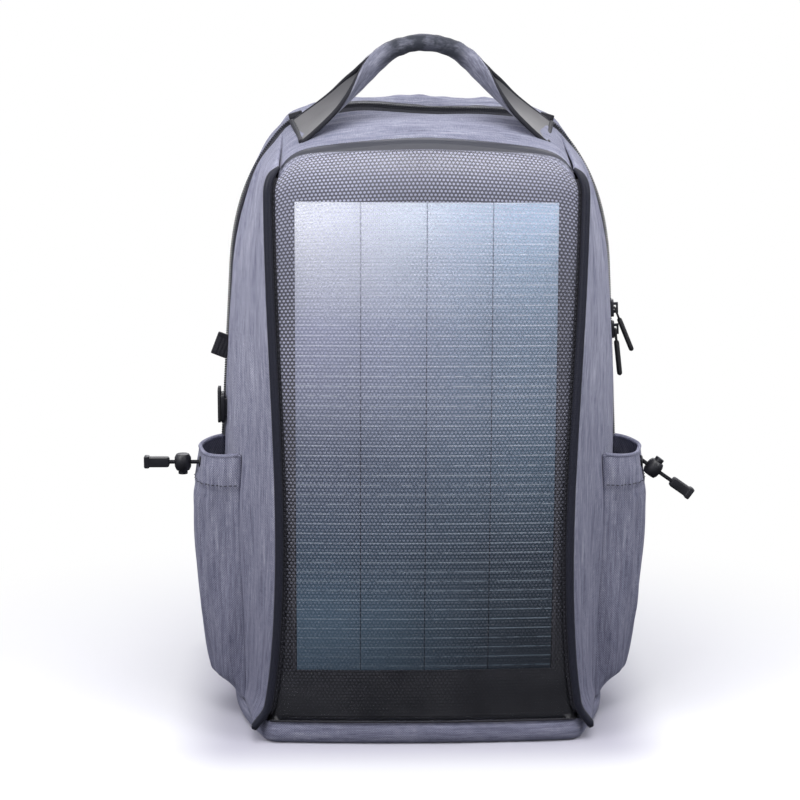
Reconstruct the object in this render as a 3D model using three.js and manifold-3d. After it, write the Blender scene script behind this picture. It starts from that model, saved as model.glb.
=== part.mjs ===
// A solar backpack: a soft shell with a flexible solar face, a zipped back door that carries the
// shoulder straps and the laptop sleeve, two side pockets with drawcords, and a grab handle.
// Millimetres, +Z up. The origin is on the floor under the middle of the bag, the solar face looks
// along -Y and the wearer's back is at +Y. "Left" is -X.

import * as THREE from 'three';
import { mergeVertices } from 'three/addons/utils/BufferGeometryUtils.js';
import Module from 'manifold-3d';

const wasm = await Module();
wasm.setup();

// ---------- driving dimensions ----------

const BASE_H = 13;            // thickness of the padded base
const ZIP_TOP = 443;          // top of the zip line
const FRONT_Y = -67;          // solar face, mean depth
const ZIP_Y = 41;             // plane where the shell and the back door meet
const BACK_Y = 76;            // rear face of the back door
const SKIN = 3;               // quilted fabric wall
const GAP = 0.4;              // clearance between neighbouring pieces
const PIPING_R = 3.6;         // piping down each side of the solar face
const CELL = { count: 4, width: 44.6, pitch: 45.2, bottom: 56, height: 330, thick: 0.4 };
const SILL_TOP = 28.6;        // low wall the back door folds down from
const DOOR_BOTTOM = 30;       // lower edge of the back door
const POCKET = { to: 0.44, front: 0.44, rear: 0.96, skin: 2.2, bulge: 23 };
const USB = { y: 22, z: 226, skinX: 144, width: 14, height: 22 };
const CORD_R = 1.5;
const HANDLE = { y: 4, apexZ: 492 };
const STRAP = { width: 58, thick: 11, webbing: 25 };

// ---------- materials ----------

function material(color, roughness, metalness = 0) {
  return new THREE.MeshStandardMaterial({ color, roughness, metalness });
}

const MELANGE = material(0x8e8fa6, 0.95);
const BINDING = material(0x1b1c22, 0.6);
const LAMINATE = material(0x17181b, 0.45);
const CELL_BLUE = material(0x2a4654, 0.35);
const COPPER = material(0x8a5a3a, 0.4, 0.8);
const HARD_BLACK = material(0x16171a, 0.4);
const MESH_GREY = material(0x2b2c31, 0.95);
const LINING = material(0x3a3b42, 0.9);
const ZIP_BLACK = material(0x222329, 0.7);

const film = material(0x9fb2bb, 0.3);
film.transparent = true;
film.opacity = 0.35;

// ---------- solid makers ----------

const CENTRE = new THREE.Vector3(0, 0, 200);

// A closed mesh from rows of points, wound so that its faces point out.
function closedMesh(points, triangles) {
  let volume = 0;
  for (const [a, b, c] of triangles) {
    volume += points[a].dot(new THREE.Vector3().crossVectors(points[b], points[c]));
  }
  const index = volume > 0 ? triangles.flat() : triangles.map(([a, b, c]) => [a, c, b]).flat();
  const geometry = new THREE.BufferGeometry().setFromPoints(points);
  geometry.setIndex(index);
  geometry.computeVertexNormals();
  return geometry;
}

// A sheet between two surfaces, each a function of (u, v) in 0..1.
function sheet(outer, inner, nu, nv) {
  const points = [];
  const at = (side, i, j) => side * (nu + 1) * (nv + 1) + i * (nv + 1) + j;
  for (const surface of [outer, inner]) {
    for (let i = 0; i <= nu; i++) {
      for (let j = 0; j <= nv; j++) points.push(surface(i / nu, j / nv));
    }
  }
  const triangles = [];
  const quad = (a, b, c, d) => triangles.push([a, b, c], [a, c, d]);
  for (let i = 0; i < nu; i++) {
    for (let j = 0; j < nv; j++) {
      quad(at(0, i, j), at(0, i + 1, j), at(0, i + 1, j + 1), at(0, i, j + 1));
      quad(at(1, i, j), at(1, i, j + 1), at(1, i + 1, j + 1), at(1, i + 1, j));
    }
    quad(at(0, i, 0), at(1, i, 0), at(1, i + 1, 0), at(0, i + 1, 0));
    quad(at(0, i, nv), at(0, i + 1, nv), at(1, i + 1, nv), at(1, i, nv));
  }
  for (let j = 0; j < nv; j++) {
    quad(at(0, 0, j), at(0, 0, j + 1), at(1, 0, j + 1), at(1, 0, j));
    quad(at(0, nu, j), at(1, nu, j), at(1, nu, j + 1), at(0, nu, j + 1));
  }
  return closedMesh(points, triangles);
}

// The unit normal of a surface at (u, v), on the side away from the middle of the bag.
function normalOf(surface, u, v) {
  const d = 1e-3;
  const u0 = Math.max(0, u - d);
  const v0 = Math.max(0, v - d);
  const alongU = surface(Math.min(1, u + d), v).sub(surface(u0, v));
  const alongV = surface(u, Math.min(1, v + d)).sub(surface(u, v0));
  const n = alongU.cross(alongV).normalize();
  return n.dot(surface(u, v).sub(CENTRE)) < 0 ? n.negate() : n;
}

// The same surface moved along its outward normal.
function offset(surface, distance) {
  return (u, v) => {
    const d = typeof distance === 'function' ? distance(u, v) : distance;
    return surface(u, v).addScaledVector(normalOf(surface, u, v), d);
  };
}

function skin(surface, thickness, nu, nv) {
  return sheet(surface, offset(surface, -thickness), nu, nv);
}

// A solid through closed loops of points, with flat ends.
function loft(loops) {
  const n = loops[0].length;
  const points = loops.flat();
  const triangles = [];
  for (let i = 0; i + 1 < loops.length; i++) {
    for (let j = 0; j < n; j++) {
      const a = i * n + j;
      const b = i * n + (j + 1) % n;
      triangles.push([a, b, b + n], [a, b + n, a + n]);
    }
  }
  const last = (loops.length - 1) * n;
  for (let j = 1; j + 1 < n; j++) {
    triangles.push([0, j + 1, j], [last, last + j, last + j + 1]);
  }
  return closedMesh(points, triangles);
}

const PADDED_SECTION = [
  [1, 0.35], [0.75, 1], [-0.75, 1], [-1, 0.35], [-1, -0.35], [-0.75, -1], [0.75, -1], [1, -0.35],
];
const FLAT_SECTION = [[1, 1], [-1, 1], [-1, -1], [1, -1]];

// A band along a 3-D curve. across(t) is the direction of its width.
function band(curve, width, thick, across, steps, section = PADDED_SECTION) {
  const loops = [];
  for (let i = 0; i <= steps; i++) {
    const t = i / steps;
    const centre = curve.getPointAt(t);
    const tangent = curve.getTangentAt(t);
    const side = across(t).addScaledVector(tangent, -across(t).dot(tangent)).normalize();
    const up = new THREE.Vector3().crossVectors(tangent, side);
    loops.push(section.map(([a, b]) => centre.clone()
      .addScaledVector(side, a * width(t) / 2)
      .addScaledVector(up, b * thick(t) / 2)));
  }
  return loft(loops);
}

function tube(curve, radius, steps, sides = 4) {
  const ring = new THREE.Shape().absarc(0, 0, radius, 0, Math.PI * 2);
  const settings = { extrudePath: curve, steps, curveSegments: sides, bevelEnabled: false };
  return new THREE.ExtrudeGeometry(ring, settings);
}

function roundedRect(width, height, radius) {
  const x = width / 2 - radius;
  const y = height / 2 - radius;
  const shape = new THREE.Shape();
  shape.absarc(x, y, radius, 0, Math.PI / 2);
  shape.absarc(-x, y, radius, Math.PI / 2, Math.PI);
  shape.absarc(-x, -y, radius, Math.PI, Math.PI * 1.5);
  shape.absarc(x, -y, radius, Math.PI * 1.5, Math.PI * 2);
  return shape;
}

// A plate of a 2-D outline, from z = 0 up to its thickness, with softened edges inside that outline.
function plate(shape, thickness, edge = 0, curveSegments = 4) {
  const geometry = new THREE.ExtrudeGeometry(shape, {
    depth: thickness - 2 * edge,
    bevelEnabled: edge > 0,
    bevelThickness: edge,
    bevelSize: edge,
    bevelOffset: -edge,
    bevelSegments: 1,
    curveSegments,
  });
  return geometry.translate(0, 0, edge);
}

// Stands a plate up, so that its outline is seen from the front and its thickness runs along +Y.
function stand(geometry) {
  geometry.computeBoundingBox();
  const thickness = geometry.boundingBox.max.z;
  return geometry.rotateX(Math.PI / 2).translate(0, thickness, 0);
}

function solid(geometry) {
  const bare = geometry.clone();
  bare.deleteAttribute('normal');
  bare.deleteAttribute('uv');
  const merged = mergeVertices(bare, 1e-3);
  return new wasm.Manifold(new wasm.Mesh({
    numProp: 3,
    vertProperties: merged.attributes.position.array,
    triVerts: new Uint32Array(merged.index.array),
  }));
}

function geometryOf(manifold) {
  const mesh = manifold.getMesh();
  const geometry = new THREE.BufferGeometry();
  geometry.setAttribute('position', new THREE.BufferAttribute(mesh.vertProperties, 3));
  geometry.setIndex(new THREE.BufferAttribute(mesh.triVerts, 1));
  geometry.computeVertexNormals();
  return geometry;
}

function cut(geometry, ...tools) {
  return geometryOf(tools.reduce((left, tool) => left.subtract(solid(tool)), solid(geometry)));
}

function join(...geometries) {
  return geometryOf(geometries.map(solid).reduce((a, b) => a.add(b)));
}

function part(name, geometry, look) {
  const mesh = new THREE.Mesh(geometry, look);
  mesh.name = name;
  return mesh;
}

// Pieces drawn for the right-hand side, set on the left (-1) or on the right (1).
function onSide(side, ...pieces) {
  const group = new THREE.Group().add(...pieces);
  group.scale.x = side;
  return group;
}

// ---------- outlines of the bag, right half, as (x, z) ----------

// Seam round the solar face: slightly waisted, flared at the foot, ending at the top corner.
const frontSide = new THREE.CurvePath();
const SEAM_FOOT = new THREE.Vector2(117, 13);
const SEAM_TOP = new THREE.Vector2(102, 411);
frontSide.add(new THREE.CubicBezierCurve(SEAM_FOOT, new THREE.Vector2(110, 42),
  new THREE.Vector2(106, 80), new THREE.Vector2(105, 140)));
frontSide.add(new THREE.CubicBezierCurve(new THREE.Vector2(105, 140), new THREE.Vector2(104, 220),
  new THREE.Vector2(111, 300), new THREE.Vector2(111.5, 390)));
frontSide.add(new THREE.QuadraticBezierCurve(new THREE.Vector2(111.5, 390),
  new THREE.Vector2(111.5, 405), SEAM_TOP));
const FRONT_ARCH = 11;        // rise of the solar face's top edge in the middle

// Zip line: widest at mid height, straight where the sliders run, then a round shoulder.
const SLIDER_RUN = { low: new THREE.Vector2(147, 180), high: new THREE.Vector2(138.5, 326) };
const SHOULDER = new THREE.Vector2(101, 427);

function zipSide(footX, footZ) {
  const path = new THREE.CurvePath();
  path.add(new THREE.CubicBezierCurve(new THREE.Vector2(footX, footZ),
    new THREE.Vector2(footX + 4, footZ + 40), new THREE.Vector2(SLIDER_RUN.low.x, 120), SLIDER_RUN.low));
  path.add(new THREE.LineCurve(SLIDER_RUN.low, SLIDER_RUN.high));
  path.add(new THREE.CubicBezierCurve(SLIDER_RUN.high, new THREE.Vector2(136, 372),
    new THREE.Vector2(124, 401), SHOULDER));
  return path;
}

const zipCrown = new THREE.CubicBezierCurve(SHOULDER, new THREE.Vector2(89, 440),
  new THREE.Vector2(56, ZIP_TOP), new THREE.Vector2(0, ZIP_TOP));
const shellZip = { side: zipSide(139, 14), crown: zipCrown };
const doorZip = { side: zipSide(141, DOOR_BOTTOM), crown: zipCrown };

const backSide = new THREE.CurvePath();
backSide.add(new THREE.CubicBezierCurve(new THREE.Vector2(131, DOOR_BOTTOM), new THREE.Vector2(136, 60),
  new THREE.Vector2(140, 110), new THREE.Vector2(140, 180)));
backSide.add(new THREE.LineCurve(new THREE.Vector2(140, 180), new THREE.Vector2(131, 322)));
backSide.add(new THREE.CubicBezierCurve(new THREE.Vector2(131, 322), new THREE.Vector2(128, 364),
  new THREE.Vector2(114, 390), new THREE.Vector2(98, 415)));
const backCrown = new THREE.CubicBezierCurve(new THREE.Vector2(98, 415), new THREE.Vector2(86, 430),
  new THREE.Vector2(54, 436), new THREE.Vector2(0, 436));
const back = { side: backSide, crown: backCrown };

// A point of an outline, from its left foot (0) over the top to its right foot (1), with its normal.
const SIDE_SHARE = 0.78;
function hoop(outline, u) {
  const height = 1 - Math.abs(2 * u - 1);
  const mirror = u < 0.5 ? -1 : 1;
  const onSide = height < SIDE_SHARE;
  const curve = onSide ? outline.side : outline.crown;
  const t = onSide ? height / SIDE_SHARE : (height - SIDE_SHARE) / (1 - SIDE_SHARE);
  const p = curve.getPoint(t);
  const tangent = curve.getTangent(t);
  return { x: mirror * p.x, z: p.y, nx: mirror * tangent.y, nz: -tangent.x };
}

// Depth of the solar face: leaning back a little, crowned both ways, rolled over at the top.
function frontY(x, z) {
  const height = THREE.MathUtils.clamp((z - 15) / 400, 0, 1);
  const lean = 14 * (height - 0.5);
  const bulge = 7 * Math.sin(Math.PI * height);
  const crown = 4 * (1 - (x / 110) ** 2);
  const roll = 9 * Math.max(0, (z - 392) / 24) ** 2;
  return FRONT_Y + lean - bulge - crown + roll;
}

// A point of the solar face's seam, moved inwards in the plane of the face.
function seamAt(t, inset) {
  const p = frontSide.getPoint(t);
  const tangent = frontSide.getTangent(t);
  return new THREE.Vector2(p.x - inset * tangent.y, p.y + inset * tangent.x);
}

// The solar face as a surface, inset from its seam and set back by depth.
function solarFace(inset, depth) {
  return (u, v) => {
    const across = 2 * u - 1;
    const seam = seamAt(v, inset);
    const z = Math.max(seam.y, SEAM_FOOT.y + 4) + FRONT_ARCH * v ** 8 * (1 - across * across);
    const x = across * seam.x;
    return new THREE.Vector3(x, frontY(x, z) + depth, z);
  };
}

// ---------- the shell ----------

const EDGE_BEHIND_FACE = PIPING_R + 0.6;  // the gussets start behind the piping
const SHELL_REAR_Y = ZIP_Y - 5;           // and end ahead of the zip

function sideFace(u, v) {
  const t = THREE.MathUtils.lerp(0.006, 1, u);
  const f = frontSide.getPoint(t);
  const r = shellZip.side.getPoint(t);
  const tangent = shellZip.side.getTangent(t);
  const swell = 8 * Math.sin(Math.PI * v) * Math.sin(Math.PI * Math.min(1, 0.12 + t));
  const frontEdge = frontY(f.x, f.y) + EDGE_BEHIND_FACE;
  return new THREE.Vector3(
    THREE.MathUtils.lerp(f.x, r.x, v) + swell * tangent.y,
    THREE.MathUtils.lerp(frontEdge, SHELL_REAR_Y, v),
    THREE.MathUtils.lerp(f.y, r.y, v) - swell * tangent.x,
  );
}

function topFace(u, v) {
  const across = 2 * u - 1;
  const r = zipCrown.getPoint(1 - Math.abs(across));
  const reach = (SEAM_TOP.x - 3) * across;
  const frontZ = SEAM_TOP.y + FRONT_ARCH * (1 - across * across);
  const frontEdge = frontY(reach, frontZ) + EDGE_BEHIND_FACE;
  const swell = 4 * Math.sin(Math.PI * v) * (1 - across ** 4);
  return new THREE.Vector3(
    THREE.MathUtils.lerp(reach, Math.sign(across) * r.x * 0.97, v),
    THREE.MathUtils.lerp(frontEdge, SHELL_REAR_Y, v),
    THREE.MathUtils.lerp(frontZ, r.y, v) + swell,
  );
}

function basePanel() {
  const shape = new THREE.Shape().moveTo(-104, -75);
  shape.quadraticCurveTo(0, -81, 104, -75);
  shape.quadraticCurveTo(114, -74, 117, -64);
  shape.bezierCurveTo(132, -30, 140, 0, 139, 40);
  shape.lineTo(136, 64);
  shape.quadraticCurveTo(134, BACK_Y, 122, BACK_Y);
  shape.lineTo(-122, BACK_Y);
  shape.quadraticCurveTo(-134, BACK_Y, -136, 64);
  shape.lineTo(-139, 40);
  shape.bezierCurveTo(-140, 0, -132, -30, -117, -64);
  shape.quadraticCurveTo(-114, -74, -104, -75);
  return plate(shape, BASE_H, 4, 3);
}

// The low wall round the rear of the base, open towards the front.
function rearSill() {
  const wall = 3.5;
  const ring = (inset) => {
    const x = 137 - inset;
    const y = BACK_Y - inset;
    const front = ZIP_Y + GAP;
    return [[-x, front], [-x + 3, y - 12], [-x + 15, y], [x - 15, y], [x - 3, y - 12], [x, front]];
  };
  const outline = [...ring(0), ...ring(wall).reverse()].map(([x, y]) => new THREE.Vector2(x, y));
  const height = SILL_TOP - BASE_H - GAP;
  return plate(new THREE.Shape(outline), height).translate(0, 0, BASE_H + GAP);
}

function piping() {
  const points = [0.004, 0.1, 0.2, 0.3, 0.45, 0.6, 0.75, 0.88, 0.94, 0.975, 1].map((t) => {
    const p = seamAt(t, PIPING_R + 0.2);
    return new THREE.Vector3(p.x, frontY(p.x, p.y) - 0.2, p.y);
  });
  return tube(new THREE.CatmullRomCurve3(points), PIPING_R, 22, 4);
}

function zipHalf(outline, y0, y1) {
  const proud = 0.8;
  return skin((u, v) => {
    const p = hoop(outline, THREE.MathUtils.lerp(0.002, 0.998, u));
    return new THREE.Vector3(p.x + proud * p.nx, THREE.MathUtils.lerp(y0, y1, v), p.z + proud * p.nz);
  }, SKIN + 0.5, 36, 1);
}

// ---------- solar laminate and electrics ----------

function solarCell(index) {
  const left = (index - CELL.count / 2) * CELL.pitch + (CELL.pitch - CELL.width) / 2;
  return cellLayer(left, left + CELL.width);
}

function cellLayer(x0, x1) {
  const face = (depth) => (u, v) => {
    const x = THREE.MathUtils.lerp(x0, x1, u);
    const z = CELL.bottom + CELL.height * v;
    return new THREE.Vector3(x, frontY(x, z) + depth, z);
  };
  return sheet(face(1.1), face(1.1 + CELL.thick), 1, 8);
}

function laminateLayer(depth, thickness, reach = 1) {
  const inset = 2 * PIPING_R + 1.4;
  const face = (d) => (u, v) => solarFace(inset, d)(u, reach * v);
  return sheet(face(depth), face(depth + thickness), 6, Math.round(14 * reach));
}

function boxAt(width, depth, height, x, y, z, radius = 2) {
  const outline = roundedRect(width, height, radius);
  return stand(plate(outline, depth, Math.min(1, radius / 2), 3)).translate(x, y, z);
}

function cable(points, radius = 1.8) {
  const curve = new THREE.CatmullRomCurve3(points.map((p) => new THREE.Vector3(...p)));
  return tube(curve, radius, 16, 3);
}

const CONTROLLER = { x: -52, y: -50, z: 352, width: 72, depth: 14, height: 40 };

// An open-topped pouch hung behind the front panel. It holds the charge controller.
function controllerPouch() {
  const c = CONTROLLER;
  const outer = boxAt(c.width + 10, c.depth + 5, c.height, c.x, c.y - 2.5, c.z - 8, 4);
  const inner = boxAt(c.width + 4, c.depth + 2, c.height + 20, c.x, c.y - 1, c.z + 4.5, 3);
  return cut(outer, inner);
}

// ---------- side pockets and drawcords ----------

// How far the pocket's skin stands off the gusset, 0 at its sewn edges.
function pocketBulge(up, across) {
  const profile = Math.sin(Math.PI * (0.2 + 0.5 * up)) ** 0.8;
  return POCKET.bulge * profile * Math.sin(Math.PI * across) ** 0.75;
}

function pocketFace(u, v) {
  const at = [POCKET.to * u, THREE.MathUtils.lerp(POCKET.front, POCKET.rear, v)];
  const n = normalOf(sideFace, ...at);
  return sideFace(...at).addScaledVector(n, GAP + POCKET.skin + pocketBulge(u, v));
}

function pocketSheet() {
  return sheet(pocketFace, offset(pocketFace, -POCKET.skin), 9, 8);
}

// The drawcord comes out through the hem, in the middle of the pocket.
const EYELET = pocketFace(0.95, 0.5);
const CORD_START = EYELET.x + 0.8;

function cordEnd() {
  return join(
    stand(plate(roundedRect(18, 7.6, 1.6), 5.2, 0.8, 1)).translate(9, -2.6, 0),
    stand(plate(roundedRect(4, 9, 1), 6, 0.5, 1)).translate(16.4, -3, 0),
  );
}

// A round cord lock centred on the origin: cord along X, button along Z.
const LOCK = { r: 6.3, half: 6, bore: 3.7, hole: CORD_R + 0.35 };

function crossHole(radius, length = 30) {
  return new THREE.CylinderGeometry(radius, radius, length, 12).rotateZ(Math.PI / 2);
}

function lockBarrel() {
  const { r, half } = LOCK;
  const profile = [[0, -half], [4.6, -half], [5.9, -3.6], [r, 0], [5.9, 3.6], [4.8, half], [0, half]];
  const barrel = new THREE.LatheGeometry(profile.map(([x, y]) => new THREE.Vector2(x, y)), 16);
  const bore = new THREE.CylinderGeometry(LOCK.bore, LOCK.bore, 12, 16);
  return cut(
    barrel.rotateX(Math.PI / 2),
    bore.rotateX(Math.PI / 2).translate(0, 0, 1.6),
    crossHole(LOCK.hole),
  );
}

function lockButton() {
  const radius = LOCK.bore - 0.3;
  const stem = new THREE.CylinderGeometry(radius, radius, 10.4, 14).rotateX(Math.PI / 2);
  const slot = stand(plate(roundedRect(30, 2 * LOCK.hole + 2.6, LOCK.hole), 2 * LOCK.hole));
  return cut(stem.translate(0, 0, 3.6), slot.translate(0, -LOCK.hole, 1.2));
}

// Everything that hangs from a pocket hem, along +X from the eyelet.
function drawcord(side, gapToLock, length) {
  const group = new THREE.Group();
  const lockX = gapToLock + LOCK.r;
  const cord = new THREE.LineCurve3(new THREE.Vector3(), new THREE.Vector3(length - GAP, 0, 0));
  group.add(part(`${side}_cord`, tube(cord, CORD_R, 1), BINDING));
  group.add(part(`${side}_cord_end`, cordEnd().translate(length, 0, 0), HARD_BLACK));
  group.add(part(`${side}_cord_lock`, lockBarrel().translate(lockX, 0, 0), HARD_BLACK));
  group.add(part(`${side}_lock_button`, lockButton().translate(lockX, 0, 0), HARD_BLACK));
  return group;
}

// ---------- grab handle ----------

function handleCurve() {
  const right = [[23, 488.5], [44, 479], [62, 461], [75, 448]];
  const points = [...right.map(([x, z]) => [-x, z]).reverse(), [0, HANDLE.apexZ], ...right];
  return new THREE.CatmullRomCurve3(points.map(([x, z]) => new THREE.Vector3(x, HANDLE.y, z)));
}

const ALONG_Y = () => new THREE.Vector3(0, 1, 0);
const ALONG_TOP = () => new THREE.Vector3(0, 0.975, 0.22);

function handleGrip() {
  const spread = (t) => Math.abs(2 * t - 1) ** 2.2;
  return band(handleCurve(), (t) => 15 + 5 * spread(t), (t) => 13 - 9 * spread(t), ALONG_Y, 16);
}

// The flared end of the handle, from the shoulder seam up to where the grip starts to swing.
function handleTab() {
  const seam = new THREE.Vector3(103, HANDLE.y, 424.5);
  const fold = new THREE.Vector3(80.3, HANDLE.y, 443.8);
  return band(new THREE.LineCurve3(seam, fold), (t) => 60 - 30 * t, () => 3.4, ALONG_TOP, 3);
}

// ---------- zip sliders ----------

const zipDirection = SLIDER_RUN.high.clone().sub(SLIDER_RUN.low).normalize();

// A group whose +Z runs up the zip and +X points out of the bag, on the right-hand slider run.
function onZip(z, ...pieces) {
  const t = (z - SLIDER_RUN.low.y) / (SLIDER_RUN.high.y - SLIDER_RUN.low.y);
  const at = SLIDER_RUN.low.clone().lerp(SLIDER_RUN.high, t);
  const group = new THREE.Group().add(...pieces);
  group.position.set(at.x + 1.3, ZIP_Y, at.y);
  group.rotation.y = Math.atan2(zipDirection.x, zipDirection.y);
  return group;
}

function slider() {
  const body = stand(plate(roundedRect(8.6, 13, 2), 2.2, 0, 2)).rotateZ(-Math.PI / 2);
  const bridge = new THREE.BoxGeometry(4.4, 2.2, 8).translate(3.6, 0, 0);
  const eye = new THREE.BoxGeometry(2.2, 6, 4).translate(3.3, 0, 0);
  return cut(join(body, bridge), eye);
}

// A pull hanging from the origin along -Z: a short metal link and a moulded tongue.
function pull() {
  const link = stand(plate(roundedRect(6.4, 11, 0.5), 1.2, 0, 1)).translate(0, -0.6, -5);
  const window = stand(plate(roundedRect(3.6, 4.8, 0.8), 6, 0, 1)).translate(0, -3, -2.9);
  const tongue = stand(plate(roundedRect(7.4, 27, 3.2), 3.4, 1, 2)).translate(0, -1.7, -22);
  return join(cut(link, window), tongue).rotateZ(Math.PI / 2);
}

// ---------- charging port and sewn tabs ----------

function usbPort() {
  const bezel = plate(roundedRect(USB.height, USB.width, 3), 2.4, 0, 2);
  const barrel = plate(roundedRect(15, 8, 1.5), 20, 0, 2).translate(0, 0, -19.6);
  const socket = plate(roundedRect(12.4, 4.8, 0.6), 16, 0, 1).translate(0, 0, -11);
  return cut(join(bezel, barrel), socket).rotateY(-Math.PI / 2).translate(-USB.skinX, USB.y, USB.z);
}

// Cut in the gusset, which is drawn for the right-hand side.
function usbHole() {
  return new THREE.BoxGeometry(20, 9, 16).translate(USB.skinX, USB.y, USB.z);
}

// A rubber flap with a plug, hanging closed from the top edge of the port.
function usbCap() {
  const flap = plate(roundedRect(USB.height + 4, USB.width, 3), 2, 0, 2).translate(2, 0, 2.8);
  const plug = plate(roundedRect(10.6, 3.8, 0.6), 5, 0, 1).translate(0, 0, -1.6);
  return join(flap, plug).rotateY(-Math.PI / 2).translate(-USB.skinX, USB.y, USB.z);
}

// A doubled piece of webbing standing out of a seam.
function sewnTab(width, reach) {
  return plate(roundedRect(reach, width, 1.2), 3, 0, 1).translate(reach / 2, 0, -1.5);
}

// ---------- back door ----------

function doorFace(u, v) {
  const f = hoop(doorZip, THREE.MathUtils.lerp(0.002, 0.998, u));
  const r = hoop(back, THREE.MathUtils.lerp(0.002, 0.998, u));
  const turn = v * Math.PI / 2;
  const inward = 1 - Math.cos(turn);
  return new THREE.Vector3(
    THREE.MathUtils.lerp(f.x, r.x, inward),
    THREE.MathUtils.lerp(ZIP_Y + 4, BACK_Y - 1, Math.sin(turn)),
    THREE.MathUtils.lerp(f.z, r.z, inward),
  );
}

function backPanel() {
  const inset = 1.3;
  const outline = [];
  for (let i = 0; i <= 40; i++) {
    const p = hoop(back, THREE.MathUtils.lerp(0.002, 0.998, i / 40));
    outline.push(new THREE.Vector2(p.x - inset * p.nx, p.z - inset * p.nz));
  }
  return stand(plate(new THREE.Shape(outline), 7.5)).translate(0, BACK_Y - 8, 0);
}

function backPad(width, height, thickness) {
  return stand(plate(roundedRect(width, height, 16), thickness, 3.5, 3));
}

function laptopSleeve() {
  const depth = 18;
  const frontY = BACK_Y - 8 - GAP - depth;
  const outer = stand(plate(roundedRect(236, 262, 10), depth)).translate(0, frontY, 168);
  const slot = stand(plate(roundedRect(229, 280, 8), 15.4)).translate(0, frontY + 2.7, 180.5);
  return cut(outer, slot);
}

// A belt across the back that slips over a suitcase's handle: a sheet with returned, sewn ends.
function luggageBelt() {
  const face = (rise) => (u, v) => {
    const x = THREE.MathUtils.lerp(-112, 112, u);
    const y = BACK_Y + 14.8 - 11.8 * Math.abs(2 * u - 1) ** 10 + rise;
    return new THREE.Vector3(x, y, THREE.MathUtils.lerp(126, 176, v));
  };
  return sheet(face(0), face(1.6), 24, 1);
}

// ---------- shoulder straps, right-hand side ----------

const STRAP_FOOT = new THREE.Vector3(124, BACK_Y + 6.4, 66);
const LOCK_AT = new THREE.Vector3(114, BACK_Y + 34, 176);

function strapCurve() {
  return new THREE.CatmullRomCurve3([
    new THREE.Vector3(40, BACK_Y + 9.5, 410),
    new THREE.Vector3(47, BACK_Y + 28, 394),
    new THREE.Vector3(66, BACK_Y + 46, 345),
    new THREE.Vector3(94, BACK_Y + 46, 270),
    new THREE.Vector3(112, BACK_Y + 37, 197),
  ]);
}

const ALONG_X = () => new THREE.Vector3(1, 0, 0);

function shoulderPad() {
  const width = (t) => STRAP.width - 20 * Math.max(0, 1 - 5 * t) - 18 * Math.max(0, 4 * t - 3);
  return band(strapCurve(), width, () => STRAP.thick, ALONG_X, 16);
}

const lockFrame = { width: 33, height: 28, thick: 3, slot: 27.5 };

// The lock's own frame: bars across X, its length down -Z, thickness along Y.
function ladderLock() {
  const body = stand(plate(roundedRect(lockFrame.width, lockFrame.height, 3), lockFrame.thick, 0.5, 2));
  const slot = (z, height) => {
    const opening = plate(roundedRect(lockFrame.slot, height, 1), 10, 0, 1);
    return stand(opening).translate(0, -3, z);
  };
  return cut(body, slot(6.5, 7), slot(-6, 8)).translate(0, -lockFrame.thick / 2, 0);
}

// Webbing from the foot up to the lock, round its middle bar and back down as the free tail.
function strapWebbing() {
  const loop = 3.8;
  const foot = STRAP_FOOT.clone().sub(LOCK_AT);
  const points = [
    [foot.x, foot.y, foot.z],
    [foot.x * 0.6, foot.y * 0.7, foot.z * 0.6],
    [foot.x * 0.15, -loop - 3, foot.z * 0.2],
    [0, -loop, -8],
    [0, -loop, 2],
    [0, 0, 7.2],
    [0, loop, 2],
    [0, 7.6, -7],
    [0, 9.6, -16],
    [1, 9, -40],
    [2, 8, -78],
  ];
  const path = new THREE.CatmullRomCurve3(points.map((p) => new THREE.Vector3(...p)), false, 'centripetal');
  return band(path, () => STRAP.webbing, () => 1.5, ALONG_X, 36, FLAT_SECTION);
}

function wingTab() {
  const corners = [[-17, -9], [17, -15], [17, 17], [-2, 12]].map((p) => new THREE.Vector2(...p));
  return stand(plate(new THREE.Shape(corners), 3))
    .translate(STRAP_FOOT.x - 9, BACK_Y + GAP, STRAP_FOOT.z - 18);
}

// ---------- assembly ----------

const bag = new THREE.Group();
bag.name = 'solar_backpack';

bag.add(part('base_panel', basePanel(), MELANGE));
bag.add(part('rear_sill', rearSill(), MELANGE));
bag.add(part('top_gusset', skin(topFace, SKIN, 12, 4), MELANGE));
bag.add(part('front_zip_half', zipHalf(shellZip, ZIP_Y - 3.6, ZIP_Y - 0.2), ZIP_BLACK));

// The solar laminate lies on a stiffening panel that stops short of the rolled top edge.
bag.add(part('solar_film', laminateLayer(0, 0.6), film));
for (let i = 0; i < CELL.count; i++) bag.add(part(`solar_cell_${i + 1}`, solarCell(i), CELL_BLUE));
const CELLS_HALF = CELL.count * CELL.pitch / 2;
bag.add(part('left_bus_ribbon', cellLayer(-CELLS_HALF - 3, -CELLS_HALF - GAP), COPPER));
bag.add(part('right_bus_ribbon', cellLayer(CELLS_HALF + GAP, CELLS_HALF + 3), COPPER));
bag.add(part('solar_backsheet', laminateLayer(2, 1.2), LAMINATE));
bag.add(part('front_panel', laminateLayer(3.6, 4, 13 / 14), LINING));

bag.add(part('junction_box', boxAt(46, 9, 24, 16, -57, 366), HARD_BLACK));
bag.add(part('controller_pouch', controllerPouch(), LINING));
bag.add(part('charge_controller', boxAt(CONTROLLER.width, CONTROLLER.depth, CONTROLLER.height,
  CONTROLLER.x, CONTROLLER.y, CONTROLLER.z, 4), HARD_BLACK));

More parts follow.
